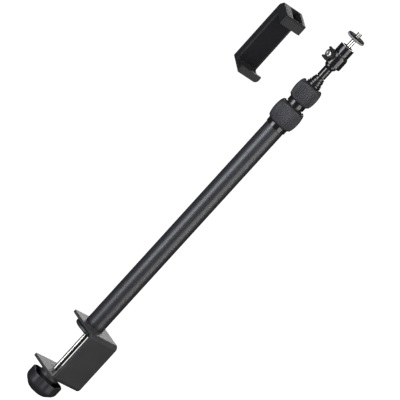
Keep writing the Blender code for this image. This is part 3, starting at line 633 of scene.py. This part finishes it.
def buildBracket():
    low, high = boxOf("clamp_bracket")
    plate, bend = bracketLook["plate"], bracketLook["bend"]
    inner = bend - plate
    outline = [(high.y, high.z)]
    outline += arc((low.y + bend, high.z - bend), bend, 90, 180, 14)
    outline += arc((low.y + bend, low.z + bend), bend, 180, 270, 14)
    outline += [(high.y, low.z), (high.y, low.z + plate)]
    outline += arc((low.y + bend, low.z + bend), inner, 270, 180, 14)
    outline += arc((low.y + bend, high.z - bend), inner, 180, 90, 14)
    outline.append((high.y, high.z - plate))
    bm = extrude(outline, low.x, high.x)

    def atTip(a, b):
        return abs(a.z - b.z) > plate / 2 and abs(a.x - b.x) < 1 and min(a.y, b.y) > high.y - 1

    roundCorners(bm, bracketLook["tip"], atTip)
    sunk = radiusOf("base_bolt") + bracketLook["boltSink"]
    boltCut = drill(high.z - 2 * plate, high.z - plate + 0.5, sunk)
    boltBore = drill(high.z - plate, high.z + plate, bracketLook["boltBore"])
    bushCut = drill(low.z - plate, low.z + 2 * plate, bracketLook["bushBore"])
    mesh = carve(bm, cuts=[boltCut, boltBore, bushCut], bevel=bracketLook["edge"])
    addPiece(mesh, "clamp_bracket", "clamp", "satin_black", "bracketBlack", tidy=False)


liningLook = dict(ribs=15, ribHeight=0.35, ribShare=0.35, holeClear=0.7, ribClear=1.2)


def buildLining():
    low, high = boxOf("jaw_lining")
    raised, bolt = liningLook["ribHeight"], radiusOf("base_bolt")
    plate = block((low.x, low.y, low.z + raised), high)
    hole = drill(low.z - 1, high.z + 1, bolt + liningLook["holeClear"])
    sheet = carve(plate, cuts=[hole], bevel=0.3)
    # ribs that grip the desk, left out round the bolt
    pitch = (high.y - low.y) / liningLook["ribs"]
    half = liningLook["ribShare"] * pitch
    rib = extrude(arc((0, 0), half, 180, 360, 8), low.x + 1, high.x - 1)
    for vertex in rib.verts:
        vertex.co.z *= raised / half
    rows = [low.y + pitch * (i + 0.5) for i in range(liningLook["ribs"])]
    clear = bolt + liningLook["ribClear"]
    spots = [(0, y, low.z + raised + 0.01) for y in rows if abs(y) > clear]
    ribs = copiesOf(rib, spots, "padRubber")
    addPiece(joinMeshes([sheet, ribs]), "jaw_lining", "clamp", "rubber_black", "padRubber")


screwLook = dict(pitch=1.5, depth=0.22, sharpness=0.8, neck=2.2, rowsPerTurn=8)


def buildClampScrew():
    low, high, radius = roundSize("clamp_screw")
    pitch, neck = screwLook["pitch"], screwLook["neck"]
    shoulder = spanOf("pressure_foot")[0] - gap
    steps = int((shoulder - low) / pitch * screwLook["rowsPerTurn"])
    points = [(0, low), *threadRows(radius, low, shoulder, steps, 4, 6)]
    points += [(neck, shoulder), (neck, high), (0, high)]
    mesh = turn(
        points, "zincPlate", 32, Depth=screwLook["depth"], Sharpness=screwLook["sharpness"],
        Twist=1 / pitch,
    )
    addPiece(mesh, "clamp_screw", "clamp_knob", "zinc", sharp=60)


# the bush and the knob's brass insert have the same bore and shank
bushLook = dict(bore=3.5, shank=6.0)


def buildScrewBush():
    low, high, radius = roundSize("screw_bush")
    seat = spanOf("clamp_bracket")[0] - gap
    bore, shank = bushLook["bore"], bushLook["shank"]
    outline = [
        (bore, low), (radius, low, 1), (radius, seat), (shank, seat), (shank, high), (bore, high),
    ]
    addTurned("screw_bush", "clamp", "dark_metal", outline, 0.3, "bracketBlack")


footLook = dict(
    hub=8.0, hubHeight=3.2, edge=1.6, bore=2.5, sink=4.3, sinkDeep=1.7, ringEdge=2.2, ringStep=2.8,
    ringDeep=0.45,
)


def buildPressureFoot():
    low, high, radius = roundSize("pressure_foot")
    hub, under = footLook["hub"], low + footLook["hubHeight"]
    bore, sink, floor = footLook["bore"], footLook["sink"], high - footLook["sinkDeep"]
    outline = [
        (bore, low), (hub, low, 0.6), (hub + 0.6, under, 0.6), (radius, under + 0.4, footLook["edge"]),
        (radius, high, 0.5), (sink, high), (sink, floor), (bore, floor),
    ]
    addTurned("pressure_foot", "clamp_foot", "satin_black", outline, 0.3, "bracketBlack", 128)
    low, high, radius = roundSize("foot_pad")
    # rings moulded in the rubber face
    face = [(radius, low, 0.3), (radius, high, 0.4)]
    ring, floor = radius - footLook["ringEdge"], high - footLook["ringDeep"]
    while ring > 3:
        face += [(ring, high), (ring - 0.3, floor), (ring - 0.9, floor), (ring - 1.2, high)]
        ring -= footLook["ringStep"]
    outline = [(0, low), *face, (0, high)]
    addTurned("foot_pad", "clamp_foot", "rubber_black", outline, 0.12, "padRubber", 128)


knobLook = dict(
    lobes=5, valley=2.7, sharpness=2.0, turn=42, wall=10.0, dish=7.5, rim=2.2, lip=1.2, boss=9.4,
    bore=6.3, pocket=12.6,
)


def buildKnob():
    low, high, radius = roundSize("clamp_knob")
    bore, boss, lip, wall = (knobLook[part] for part in ("bore", "boss", "lip", "wall"))
    rim, floor, pocket = radius - knobLook["rim"], high - knobLook["dish"], high - knobLook["pocket"]
    dome, lipLow = (high - low) - wall, lip + 0.2
    points = [(bore, pocket), (bore, high), (boss, high), (boss + 0.6, high - 0.4)]
    points += [(boss + 0.9 + (rim - boss - 1.7) * k / 5, floor, k / 5) for k in range(6)]
    edge = [(rim, high - 0.7), (rim + 0.5, high), *arc((radius - lip, high - lipLow), lip, 80, 0, 6)]
    edge += [(radius, high - lipLow - (wall - lipLow) * k / 6) for k in range(1, 7)]
    points += [(r, z, 1.0) for r, z in edge]
    for k in range(1, 25):
        angle = math.radians(90 * k / 24)
        out, down = math.cos(angle), math.sin(angle)
        points.append((radius * out, high - wall - dome * down, out ** 1.2))
    points.append((0, pocket))
    mesh = turn(
        points, "knobBlack", 240, Waves=float(knobLook["lobes"]), Depth=knobLook["valley"],
        Sharpness=knobLook["sharpness"], Phase=math.radians(knobLook["turn"]),
    )
    addPiece(mesh, "clamp_knob", "clamp_knob", "satin_black", sharp=50)

    low, high, radius = roundSize("knob_insert")
    seat = spanOf("clamp_knob")[1] + gap
    bore, shank = bushLook["bore"], bushLook["shank"]
    outline = [
        (bore, low), (shank, low), (shank, seat), (radius, seat, 0.2), (radius, high, 0.3),
        (bore, high, 0.3),
    ]
    addTurned("knob_insert", "clamp_knob", "brass", outline, 0.2, "turnedBrass")


buildBracket()
buildLining()
buildClampScrew()
buildScrewBush()
buildPressureFoot()
buildKnob()
print("clamp built")

# ---- pole
tubeWalls = {"main_tube": 1.2, "second_tube": 1.0, "third_tube": 1.0}


def buildTube(node, body):
    low, high, radius = roundSize(node)
    inner = radius - tubeWalls[node]
    outline = [(inner, low), (radius, low), (radius, high), (inner, high)]
    addTurned(node, body, "satin_black", outline, 0.3, "powderBlack", 128)


sleeveLook = dict(fit=0.25, threadStep=0.15, seat=2.2, seatDeep=8, lowerRing=5.4, upperRing=5.8)


def buildSleeve(node, body, outerTube, innerTube, ring):
    # polished ring below the collar, then the thread that the collar turns on
    low, high, radius = roundSize(node)
    bore, seat = radiusOf(outerTube) + sleeveLook["fit"], radiusOf(innerTube) + sleeveLook["seat"]
    thread, seatLow = radius - sleeveLook["threadStep"], high - sleeveLook["seatDeep"]
    outline = [
        (bore, low), (radius, low, 0.4), (radius, low + ring), (thread, low + ring + 0.3),
        (thread, high), (seat, high), (seat, seatLow), (bore, seatLow - 1),
    ]
    addTurned(node, body, "gloss_black", outline, 0.2, "polishedBlack", 128)


collarLook = dict(wall=0.9, shoulder=2.0, gripFit=0.25, gripEdge=0.4, swell=0.55, rows=44)
gripLooks = {
    "lower_collar_grip": dict(ribs=44, depth=0.55, sharpness=2.2),
    "upper_collar_grip": dict(ribs=38, depth=0.7, sharpness=2.6),
}


def buildCollar(coreNode, gripNode, body, tubeNode):
    low, high, radius = roundSize(coreNode)
    lip, bore = radiusOf(tubeNode) + gap, radius - collarLook["wall"]
    outline = [
        (bore, low, 0.2), (radius - 0.7, low, 0.5), (radius, low + 1.2, 0.6),
        (radius, high - 1.8, 1.4), (radius - collarLook["shoulder"], high, 1.0), (lip, high, 0.2),
        (lip, high - 2, 0.2), (bore, high - 3.6, 0.2),
    ]
    addTurned(coreNode, body, "gloss_black", outline, 0.3, "collarBlack", 128)

    inner = radius + collarLook["gripFit"]
    low, high, largest = roundSize(gripNode)
    look, edge, rows = gripLooks[gripNode], inner + collarLook["gripEdge"], collarLook["rows"]
    points = [(inner, low)]
    for i in range(rows + 1):
        share = i / rows
        swell = max(math.sin(math.pi * share), 0) ** collarLook["swell"]
        weight = min(1.0, 6 * share, 6 * (1 - share)) if 2 < i < rows - 2 else 0.0
        points.append((edge + (largest - edge) * swell, low + (high - low) * share, weight))
    points.append((inner, high))
    mesh = turn(
        points, "gripRubber", look["ribs"] * 8, Waves=float(look["ribs"]), Depth=look["depth"],
        Sharpness=look["sharpness"],
    )
    addPiece(mesh, gripNode, body, "rubber_black", sharp=70)


capLook = dict(groove=0.55, grooveDeep=1.3, upperStep=0.6)


def buildTopCap():
    low, high, radius = roundSize("top_cap")
    bore, upper = radiusOf("third_tube") + gap, radius - capLook["upperStep"]
    groove = low + (high - low) * capLook["groove"]
    outline = [
        (bore, low), (radius, low, 0.5), (radius, groove - 0.4, 0.5),
        (radius - capLook["grooveDeep"], groove, 0.2), (upper, groove + 0.5, 0.4),
        (upper - 0.3, high, 0.7), (bore, high),
    ]
    addTurned("top_cap", "third_section", "gloss_black", outline, 0.2, "polishedBlack", 112)


buildTube("main_tube", "clamp")
buildTube("second_tube", "second_section")
buildTube("third_tube", "third_section")
buildSleeve("lower_lock_sleeve", "clamp", "main_tube", "second_tube", sleeveLook["lowerRing"])
buildSleeve("upper_lock_sleeve", "second_section", "second_tube", "third_tube", sleeveLook["upperRing"])
buildCollar("lower_collar_core", "lower_collar_grip", "lower_collar", "second_tube")
buildCollar("upper_collar_core", "upper_collar_grip", "upper_collar", "third_tube")
buildTopCap()
print("pole built")

# ---- ball head
neckLook = dict(shank=6.2, upper=6.5, ring=3.0, bore=3.3, pin=3, deep=11, flare=2.7)


def buildNeck():
    low, high, radius = roundSize("head_adapter")
    shank, upper, bore, deep = (neckLook[part] for part in ("shank", "upper", "bore", "deep"))
    foot, ringTop = spanOf("top_cap")[1] + gap, spanOf("top_cap")[1] + gap + neckLook["ring"]
    outline = [
        (0, low), (shank, low), (shank, foot), (radius, foot, 0.5), (radius, ringTop, 0.5),
        (upper, ringTop + 1.4, 0.5), (upper, high, 0.5), (bore, high), (bore, high - deep),
        (0, high - deep),
    ]
    addTurned("head_adapter", "third_section", "gloss_black", outline, 0.2, "polishedBlack", 96)

    low, high, radius = roundSize("head_rod")
    pin, foot, top = neckLook["pin"], low + deep, high - deep
    outline = [
        (0, low), (pin, low), (pin, foot), (radius, foot, 0.9), (radius, top, 0.9), (pin, top),
        (pin, high), (0, high),
    ]
    addTurned("head_rod", "third_section", "gloss_black", outline, 0.3, "polishedBlack", 96)

    low, high, radius = roundSize("head_flange")
    outline = [
        (bore, low), (shank - 0.25, low, 0.4), (shank, low + 0.9, 0.6),
        (radius, low + neckLook["flare"], 0.7), (radius, high, 0.4), (bore, high),
    ]
    addTurned("head_flange", "third_section", "gloss_black", outline, 0.2, "polishedBlack", 96)


def sideways(level):
    # stands a piece that was turned about Z on the -X side of the head
    return Matrix.Translation((0, 0, level)) @ Matrix.Rotation(-math.pi / 2, 4, "Y")


ballLook = dict(
    bore=3.3, edge=1.2, taper=3.4, wall=2.65, floor=7.7, boss=5, bossBore=2.8, capWall=0.9,
    capEdge=2.4, capTop=1.6, mouth=7, neck=3.0,
)


def buildBallHead():
    boxLow, boxHigh = boxOf("ball_housing")
    low, high, side, reach = boxLow.z, boxHigh.z, boxHigh.x, -boxLow.x
    level = sum(spanOf("lock_screw")) / 2
    bore, inner, floor = ballLook["bore"], side - ballLook["wall"], low + ballLook["floor"]
    outline = [
        (bore, low), (side, low, ballLook["edge"]), (side, high - ballLook["taper"], 0.6),
        (side - 1.4, high, 0.5), (inner, high), (inner, floor), (bore, floor),
    ]
    shell = turn(softOutline(outline, 0.25), "polishedBlack", 128)
    boss, hole, root = ballLook["boss"], ballLook["bossBore"], side - 1.8
    outline = [(hole, root), (boss, root), (boss, reach, 0.6), (hole, reach, 0.2)]
    bossMesh = turn(softOutline(outline, 0.1), "polishedBlack", 72, place=sideways(level))
    addPiece(joinMeshes([shell, bossMesh]), "ball_housing", "third_section", "gloss_black")

    low, high, radius = roundSize("ball_cap")
    inner, mouth, under = radius - ballLook["capWall"], ballLook["mouth"], high - ballLook["capTop"]
    outline = [
        (inner, low), (radius, low, 0.3), (radius, high, ballLook["capEdge"]), (mouth, high, 0.5),
        (mouth, under, 0.3), (inner, under),
    ]
    mesh = turn(softOutline(outline, 0.2, 8), "polishedBlack", 128)
    addPiece(mesh, "ball_cap", "third_section", "gloss_black")

    low, high, ball = roundSize("ball_stem")
    neck = ballLook["neck"]
    end = math.degrees(math.acos(neck / ball))
    outline = [(0, low), *arc((0, low + ball), ball, -87, end, 48)]
    outline += [(neck, high - 0.4), (neck - 0.3, high), (0, high)]
    mesh = turn(outline, "brightChrome", 96)
    addPiece(mesh, "ball_stem", "camera_mount", "chrome")


platformLook = dict(
    bore=3.4, hub=5, rim=2.6, inset=0.9, bulge=0.5, knurls=64, knurlDepth=0.4, knurlSharpness=1.4,
    padGroove=2.0, padDeep=0.3,
)
studLook = dict(pitch=1.27, depth=0.5, sharpness=0.9, tip=0.8, rowsPerTurn=12)


def buildPlatform():
    low, high, radius = roundSize("camera_platform")
    bore, inset, rim = platformLook["bore"], platformLook["inset"], high - platformLook["rim"]
    points = softOutline([(bore, low), (platformLook["hub"], low, 0.5), (radius - inset, rim, 0.4)], 0.2)
    for share in (0.0, 0.12, 0.25, 0.5, 0.75, 0.88, 1.0):
        bulge = platformLook["bulge"] * (2 * share - 1) ** 4
        weight = 1.0 if 0.1 < share < 0.9 else 0.4
        points.append((radius - bulge, rim + 0.3 + (high - rim - 0.3) * share, weight))
    points += [(radius - inset, high), (bore, high)]
    knurls = platformLook["knurls"]
    mesh = turn(
        points, "darkPlatform", knurls * 6, Waves=float(knurls), Depth=platformLook["knurlDepth"],
        Sharpness=platformLook["knurlSharpness"],
    )
    addPiece(mesh, "camera_platform", "camera_mount", "dark_metal", sharp=50)

    low, high, radius = roundSize("platform_pad")
    ring, floor = radius - platformLook["padGroove"], high - platformLook["padDeep"]
    outline = [
        (bore, low), (radius, low), (radius, high, 0.4), (ring, high), (ring - 0.3, floor),
        (ring - 0.9, floor), (ring - 1.2, high), (bore + 0.8, high, 0.3), (bore, floor, 0.2),
    ]
    addTurned("platform_pad", "camera_mount", "rubber_black", outline, 0.12, "padRubber", 128)

    low, high, radius = roundSize("camera_stud")
    pitch, tipStart = studLook["pitch"], high - studLook["tip"]
    steps = int((high - low) / pitch * studLook["rowsPerTurn"])
    rows = threadRows(radius, low, high, steps, 2, 3)
    tapered = [(radius - 0.9 * max(0.0, z - tipStart), z, weight) for _, z, weight in rows]
    mesh = turn(
        [(0, low), *tapered, (0, high)], "zincPlate", 48, Depth=studLook["depth"],
        Sharpness=studLook["sharpness"], Twist=1 / pitch,
    )
    addPiece(mesh, "camera_stud", "camera_mount", "zinc", sharp=60)


wingLook = dict(hub=6.1, thick=6.6, bore=2.8, cell=0.22, rounds=7, screwHead=1.6)


def buildWingKnob():
    low, high = boxOf("wing_knob")
    level, half = (low.z + high.z) / 2, (high.z - low.z) / 2
    face, tip = -high.x, -low.x
    hub = extrude(arc((0, 0), wingLook["hub"], 0, 352.5, 47), face + 0.1, face + 4, "Z")
    # each wing from the middle out along the face, round its tip and back
    edge = [
        (2, face + 0.2), (half - 3.4, face + 0.2), (half - 0.4, face + 2.6), (half, face + 4.4),
        (half - 0.3, tip - 1.2), (half - 1.3, tip), (half - 2.8, tip - 0.4), (5.0, tip - 1.8),
        (4.7, face + 4.4), (4.4, face + 4.0), (2, face + 4.0),
    ]
    thick = wingLook["thick"] / 2
    wings = [extrude([(up * x, z) for x, z in edge], -thick, thick, "Y") for up in (1, -1)]
    bore = drill(face - 1, tip, wingLook["bore"])
    item = toObject(bmeshFrom(carve(hub, cuts=[bore], adds=wings, bevel=0)), "wingWork")
    skin = item.modifiers.new("skin", "REMESH")
    skin.mode = "VOXEL"
    skin.voxel_size = wingLook["cell"]
    soften = item.modifiers.new("soften", "SMOOTH")
    soften.factor = 0.5
    soften.iterations = wingLook["rounds"]
    mesh = settle(item)
    bpy.data.objects.remove(item)
    mesh.transform(sideways(level))
    addPiece(mesh, "wing_knob", "wing_knob", "satin_black", "mouldedBlack", sharp=80)

    low, high = boxOf("lock_screw")
    start, end, radius = -high.x, -low.x, (high.z - low.z) / 2
    seat = end - wingLook["screwHead"]
    outline = [
        (0, start), (2.5, start), (2.5, seat), (radius, seat, 0.2), (radius, end - 0.7, 0.5),
        (radius - 0.9, end, 0.4), (1.9, end, 0.2), (1.7, end - 0.8), (0, end - 0.8),
    ]
    addTurned("lock_screw", "wing_knob", "zinc", outline, 0.15, "zincPlate", 72, place=sideways(level))


buildNeck()
buildBallHead()
buildPlatform()
buildWingKnob()
print("head built")

# ---- phone holder
holderLook = dict(
    edge=0.9, wall=2.2, frontWall=2.5, floor=4.5, lip=3.5, lipHeight=9.5, footNear=1.5, footFar=5.0,
    roomBend=1.5, socket=4.4, socketDeep=7.9, boss=2.0, bossBore=1.1,
)


def holderFrame():
    # X out of the holder's back, Z along it, from the two faces that a phone rests on
    mounts = {m["name"]: m for m in frame["record"]["mounts"]}
    forward = Vector(mounts["phone_back"]["axis"]).normalized()
    upward = Vector(mounts["phone_rest"]["axis"]).normalized()
    across = upward.cross(forward)
    turnIt = Matrix((forward, across, upward)).transposed().to_4x4()
    place = Matrix.Translation(Vector(mounts["phone_rest"]["pos_m"]) / mm) @ turnIt
    low, high = localBox("holder_body", place)
    return place @ Matrix.Translation((low.x, (low.y + high.y) / 2, low.z))


def localBox(node, place):
    back = place.inverted()
    spots = [back @ (v.co / mm) for v in frame["nodes"][node].data.vertices]
    low = Vector([min(s[i] for s in spots) for i in range(3)])
    high = Vector([max(s[i] for s in spots) for i in range(3)])
    return low, high


holderPlace = holderFrame()
backDepth = localBox("holder_back_pad", holderPlace)[0].x - gap
headUnder = localBox("upper_jaw_pad", holderPlace)[1].z + gap
channelFront = backDepth - holderLook["frontWall"]


def addHolderPiece(mesh, node, body, slotName, material, **settings):
    mesh.transform(holderPlace)
    addPiece(mesh, node, body, slotName, material, **settings)


def screwSpots():
    spots = []
    for i in range(1, 5):
        low, high = localBox(f"cover_screw_{i}", holderPlace)
        spots.append(((low.y + high.y) / 2, (low.z + high.z) / 2))
    return spots


def buildHolderBody():
    low, high = localBox("holder_body", holderPlace)
    floor, bend, front = holderLook["floor"], holderLook["roomBend"], high.x
    near, far = holderLook["footNear"], holderLook["footFar"]
    outline = [(low.y, high.z), *arc((low.y + near, near), near, 180, 270, 6)]
    outline += [*arc((high.y - far, far), far, 270, 360, 8), (high.y, high.z)]
    bm = extrude(outline, 0, front, "X")
    lipBack, lipTop = front - holderLook["lip"], holderLook["lipHeight"]
    room = [(front + 1, lipTop), (lipBack, lipTop), (lipBack, floor)]
    room += arc((backDepth + bend, floor + bend), bend, 270, 180, 5)
    room += [(backDepth, high.z + 1), (front + 1, high.z + 1)]
    room = extrude(room, low.y - 1, high.y + 1, "Y")
    wall = holderLook["wall"]
    coverLow = localBox("holder_cover", holderPlace)[0].z - gap
    channel = block((-1, low.y + wall, coverLow), (channelFront, high.y - wall, high.z + 1))
    middle = backDepth / 2
    socket = cylinder((middle, 0, -1), (middle, 0, holderLook["socketDeep"]), holderLook["socket"])
    mesh = carve(bm, cuts=[room, channel, socket], bevel=holderLook["edge"])
    bosses = []
    bore, boss, root = holderLook["bossBore"], holderLook["boss"], channelFront + 1
    outline = [(bore, 2.1), (boss, 2.1), (boss, root), (bore, root)]
    for across, level in screwSpots():
        spot = Matrix.Translation((0, across, level)) @ Matrix.Rotation(math.pi / 2, 4, "Y")
        bosses.append(turn(outline, "mouldedBlack", 24, place=spot))
    whole = joinMeshes([mesh, *bosses])
    addHolderPiece(whole, "holder_body", "phone_holder", "matte_black", "mouldedBlack", sharp=40)


headLook = dict(
    corner=2.5, chamfer=5.0, crown=1.6, pocketDeep=9.5, pocketBack=6.5, pocketNear=10.5, pocketFar=4.7,
    pocketBend=1.2, rim=3.2, tongue=15.2, tongueThick=3.0, tabBack=2.4, tabHeight=3,
)


def buildHolderHead():
    low, high = localBox("holder_slider", holderPlace)
    front, top = high.x, high.z
    corner, chamfer = headLook["corner"], headLook["chamfer"]
    outline = [(0, headUnder), (front, headUnder), (front, top - corner)]
    outline += [(front - corner, top), (chamfer, top), (0, top - chamfer)]
    bm = extrude(outline, low.y, high.y, "Y")

    def atFront(a, b):
        return abs(a.z - b.z) > 2 and abs(a.y - b.y) < 1 and min(a.x, b.x) > front - 1

    def atCrown(a, b):
        return abs(a.x - b.x) > 2 and min(a.z, b.z) > top - chamfer - 1

    roundCorners(bm, corner, atFront)
    roundCorners(bm, headLook["crown"], atCrown, 2)
    near, far = low.y + headLook["pocketNear"], high.y - headLook["pocketFar"]
    floor, rimBack = top - headLook["pocketDeep"], front - headLook["rim"]
    pocket = block((headLook["pocketBack"], near, floor), (rimBack, far, top + 1))
    roundCorners(pocket, headLook["pocketBend"], lambda a, b: abs(a.z - b.z) > 2, 4)
    head = carve(bm, cuts=[pocket], bevel=holderLook["edge"])
    # tongue and tab that run in the back housing
    tongueFront, half = channelFront - gap, headLook["tongue"] / 2
    tongueBack, tabTop = tongueFront - headLook["tongueThick"], low.z + headLook["tabHeight"]
    tongue = block((tongueBack, -half, low.z), (tongueFront, half, headUnder + 0.6))
    tab = block((headLook["tabBack"], -half, low.z), (tongueBack + 0.5, half, tabTop))
    slide = carve(tongue, adds=[tab], bevel=0.3)
    whole = joinMeshes([head, slide])
    addHolderPiece(
        whole, "holder_slider", "holder_jaw", "matte_black", "mouldedBlack", sharp=40, name="holderHead"
    )


padLook = dict(ribs=9, ribHeight=0.35, ribShare=0.3)


def buildHolderPad(node, body, facing):
    # thin rubber pad with raised ribs across it; facing is 1 upwards and -1 downwards
    low, high = localBox(node, holderPlace)
    raised = padLook["ribHeight"]
    if facing > 0:
        start = high.z - raised
        base = block(low, (high.x, high.y, start))
    else:
        start = low.z + raised
        base = block((low.x, low.y, start), high)
    sheet = carve(base, bevel=0.25)
    pitch = (high.x - low.x) / padLook["ribs"]
    half = padLook["ribShare"] * pitch
    rib = extrude(arc((0, 0), half, 0, 180, 8), low.y + 1, high.y - 1, "Y")
    for vertex in rib.verts:
        vertex.co.z *= facing * raised / half
    spots = [(low.x + pitch * (i + 0.5), 0, start) for i in range(padLook["ribs"])]
    ribs = copiesOf(rib, spots, "padRubber")
    addHolderPiece(joinMeshes([sheet, ribs]), node, body, "rubber_black", "padRubber")


def buildHolderFace():
    low, high = localBox("holder_back_pad", holderPlace)
    bm = block(low, high)
    bm = roundCorners(bm, 2.0, lambda a, b: abs(a.x - b.x) > 0.5, 5)
    mesh = carve(bm, bevel=0.25)
    addHolderPiece(
        mesh, "holder_back_pad", "phone_holder", "rubber_black", "padRubber", name="holderFacePad"
    )


coverLook = dict(
    sink=2.0, sinkDeep=0.9, bore=1.1, sideInset=4.0, endInset=14, panelDeep=0.5, screwHead=0.55,
    screwShank=0.8, slot=0.44, slotLength=2.0, slotDeep=0.35,
)


def buildHolderCover():
    low, high = localBox("holder_cover", holderPlace)
    cuts = []
    for across, level in screwSpots():
        for depth, radius, segments in (
            (coverLook["sinkDeep"], coverLook["sink"], 32), (3, coverLook["bore"], 24),
        ):
            cuts.append(cylinder((-1, across, level), (depth, across, level), radius, segments))
    side, end = coverLook["sideInset"], coverLook["endInset"]
    panelHigh = (coverLook["panelDeep"], high.y - side, high.z - end)
    cuts.append(block((-1, low.y + side, low.z + end), panelHigh))
    mesh = carve(block(low, high), cuts=cuts, bevel=0.3)
    addHolderPiece(mesh, "holder_cover", "phone_holder", "matte_black", "mouldedBlack")


def buildCoverScrews():
    low, high = localBox("cover_screw_1", holderPlace)
    radius = (high.y - low.y) / 2
    seat, shank = low.x + coverLook["screwHead"], coverLook["screwShank"]
    outline = [
        (0, low.x), (radius - 0.5, low.x, 0.2), (radius, seat - 0.15, 0.2), (radius, seat),
        (shank, seat), (shank, high.x), (0, high.x),
    ]
    body = turn(softOutline(outline, 0.1), "zincPlate", 40, place=Matrix.Rotation(math.pi / 2, 4, "Y"))
    long, thin, floor = coverLook["slotLength"] / 2, coverLook["slot"] / 2, low.x + coverLook["slotDeep"]
    slots = [block((low.x - 1, -a, -b), (floor, a, b)) for a, b in ((long, thin), (thin, long))]
    screw = bmeshFrom(carve(bmeshFrom(body), cuts=slots, bevel=0))
    mesh = copiesOf(screw, [(0, across, level) for across, level in screwSpots()], "zincPlate")
    nodes = [f"cover_screw_{i}" for i in range(1, 5)]
    addHolderPiece(
        mesh, "cover_screw_1", "phone_holder", "zinc", "zincPlate", name="coverScrews", replaced=nodes
    )


insertLook = dict(bore=3.5, depth=0.35, rows=56)


def buildThreadInsert():
    low, high = localBox("thread_insert", holderPlace)
    radius = (high.x - low.x) / 2
    points = threadRows(insertLook["bore"], high.z, low.z, insertLook["rows"], 3, 3, -1.0)
    points += [(radius - 0.2, low.z), (radius, low.z + 0.2), (radius, high.z)]
    centre = Matrix.Translation(((low.x + high.x) / 2, 0, 0))
    mesh = turn(
        points, "turnedBrass", 48, centre, Depth=insertLook["depth"], Sharpness=studLook["sharpness"],
        Twist=1 / studLook["pitch"],
    )
    addHolderPiece(mesh, "thread_insert", "phone_holder", "brass", "turnedBrass", sharp=60)


buildHolderBody()
buildHolderHead()
buildHolderPad("lower_jaw_pad", "phone_holder", 1)
buildHolderPad("upper_jaw_pad", "holder_jaw", -1)
buildHolderFace()
buildHolderCover()
buildCoverScrews()
buildThreadInsert()
print("phone holder built")

# ---- pieces inside keep their frame shape and get a finish
insideFinishes = {
    "whiteNylon": [
        "pole_base_plug", "second_tube_guide", "third_tube_guide", "lower_collet", "upper_collet",
        "ball_lower_seat", "ball_upper_ring", "lock_pin",
    ],
    "zincPlate": ["foot_rivet", "base_bolt", "holder_spring_left", "holder_spring_right"],
}
for finish, names in insideFinishes.items():
    for nodeName in names:
        node = frame["nodes"][nodeName]
        for slotIndex in range(len(node.material_slots)):
            node.material_slots[slotIndex].material = materials[finish]

# ---- camera, floor and light
view = dict(bearing=-47.7, height=12.0, lean=42.3, width=0.472, lens=400.0, side=-0.0077, level=0.2039)
lights = {
    "softboxLeft": dict(around=-43, up=0.2, away=1.3, width=0.75, tall=2.0, power=25, tint=(0.93, 0.95, 1)),
    "softboxRight": dict(around=48, up=0.2, away=1.35, width=0.7, tall=2.0, power=17, tint=(1, 0.97, 0.93)),
    "stripLeft": dict(around=-36, up=0.1, away=1.6, width=0.10, tall=1.6, power=7),
    "stripRight": dict(around=70, up=0.1, away=1.2, width=0.06, tall=1.6, power=5),
    "softboxBack": dict(around=180, up=0.75, away=1.8, width=0.6, tall=0.8, power=9),
    "softboxTop": dict(around=-20, up=1.9, away=0.5, width=1.2, tall=1.2, power=10),
}
floorLevel = -0.75
bearing, height = math.radians(view["bearing"]), math.radians(view["height"])
rightward = Vector((math.cos(bearing), math.sin(bearing), 0))
ahead = Vector((math.sin(bearing), -math.cos(bearing), 0))
towards = ahead * math.cos(height) + Vector((0, 0, math.sin(height)))
upward = towards.cross(rightward)
target = rightward * view["side"] + Vector((0, 0, view["level"]))


def makeCamera():
    lean = math.radians(view["lean"])
    across = upward * math.sin(lean) + rightward * math.cos(lean)
    up = upward * math.cos(lean) - rightward * math.sin(lean)
    lens = bpy.data.cameras.new("camera")
    lens.lens = view["lens"]
    lens.sensor_width = 36.0
    away = view["width"] / 2 / (18.0 / view["lens"])
    lens.clip_start, lens.clip_end = 0.1, 100.0
    camera = newObject("camera", lens)
    turnIt = Matrix((across, up, towards)).transposed().to_4x4()
    camera.matrix_world = Matrix.Translation(target + towards * away) @ turnIt
    bpy.context.scene.camera = camera


def makeFloor():
    bm = bmesh.new()
    bmesh.ops.create_circle(bm, cap_ends=True, segments=96, radius=45.0)
    bmesh.ops.translate(bm, verts=bm.verts, vec=(0, 0, floorLevel))
    floor = toObject(bm, "floor")
    paper = bpy.data.materials.new("paleFloor")
    paper.use_nodes = True
    tree = paper.node_tree
    shader = tree.nodes["Principled BSDF"]
    preset(shader, {"Roughness": 0.9, "Emission Color": (1, 1, 1, 1)})
    # pale to look at, and dark to the object above it, so that black finishes stay black
    path = addNode(tree, "ShaderNodeLightPath")
    seen = path.outputs["Is Camera Ray"]
    wire(seen, shader.inputs["Emission Strength"])
    wire(mixColour(tree, seen, (0.05, 0.05, 0.05, 1), (0.8, 0.8, 0.8, 1)), shader.inputs["Base Color"])
    floor.data.materials.append(paper)


def makeLights():
    for name, look in lights.items():
        light = bpy.data.lights.new(name, "AREA")
        light.shape = "RECTANGLE"
        light.size, light.size_y = look["width"], look["tall"]
        light.energy = look["power"]
        light.color = look.get("tint", (1, 1, 1))
        turnTo = math.radians(look["around"])
        spot = (ahead * math.cos(turnTo) + rightward * math.sin(turnTo)) * look["away"]
        item = newObject(name, light)
        item.location = target + spot + Vector((0, 0, look["up"]))
        aim = (target - item.location).to_track_quat("-Z", "Y")
        item.rotation_euler = aim.to_euler()
    world = bpy.data.worlds.new("studio")
    world.use_nodes = True
    backdrop = world.node_tree.nodes["Background"]
    preset(backdrop, {"Color": (1, 1, 1, 1), "Strength": 0.06})
    bpy.context.scene.world = world
    bpy.context.scene.view_settings.view_transform = "Standard"


makeCamera()
makeFloor()
makeLights()
print("studio ready")
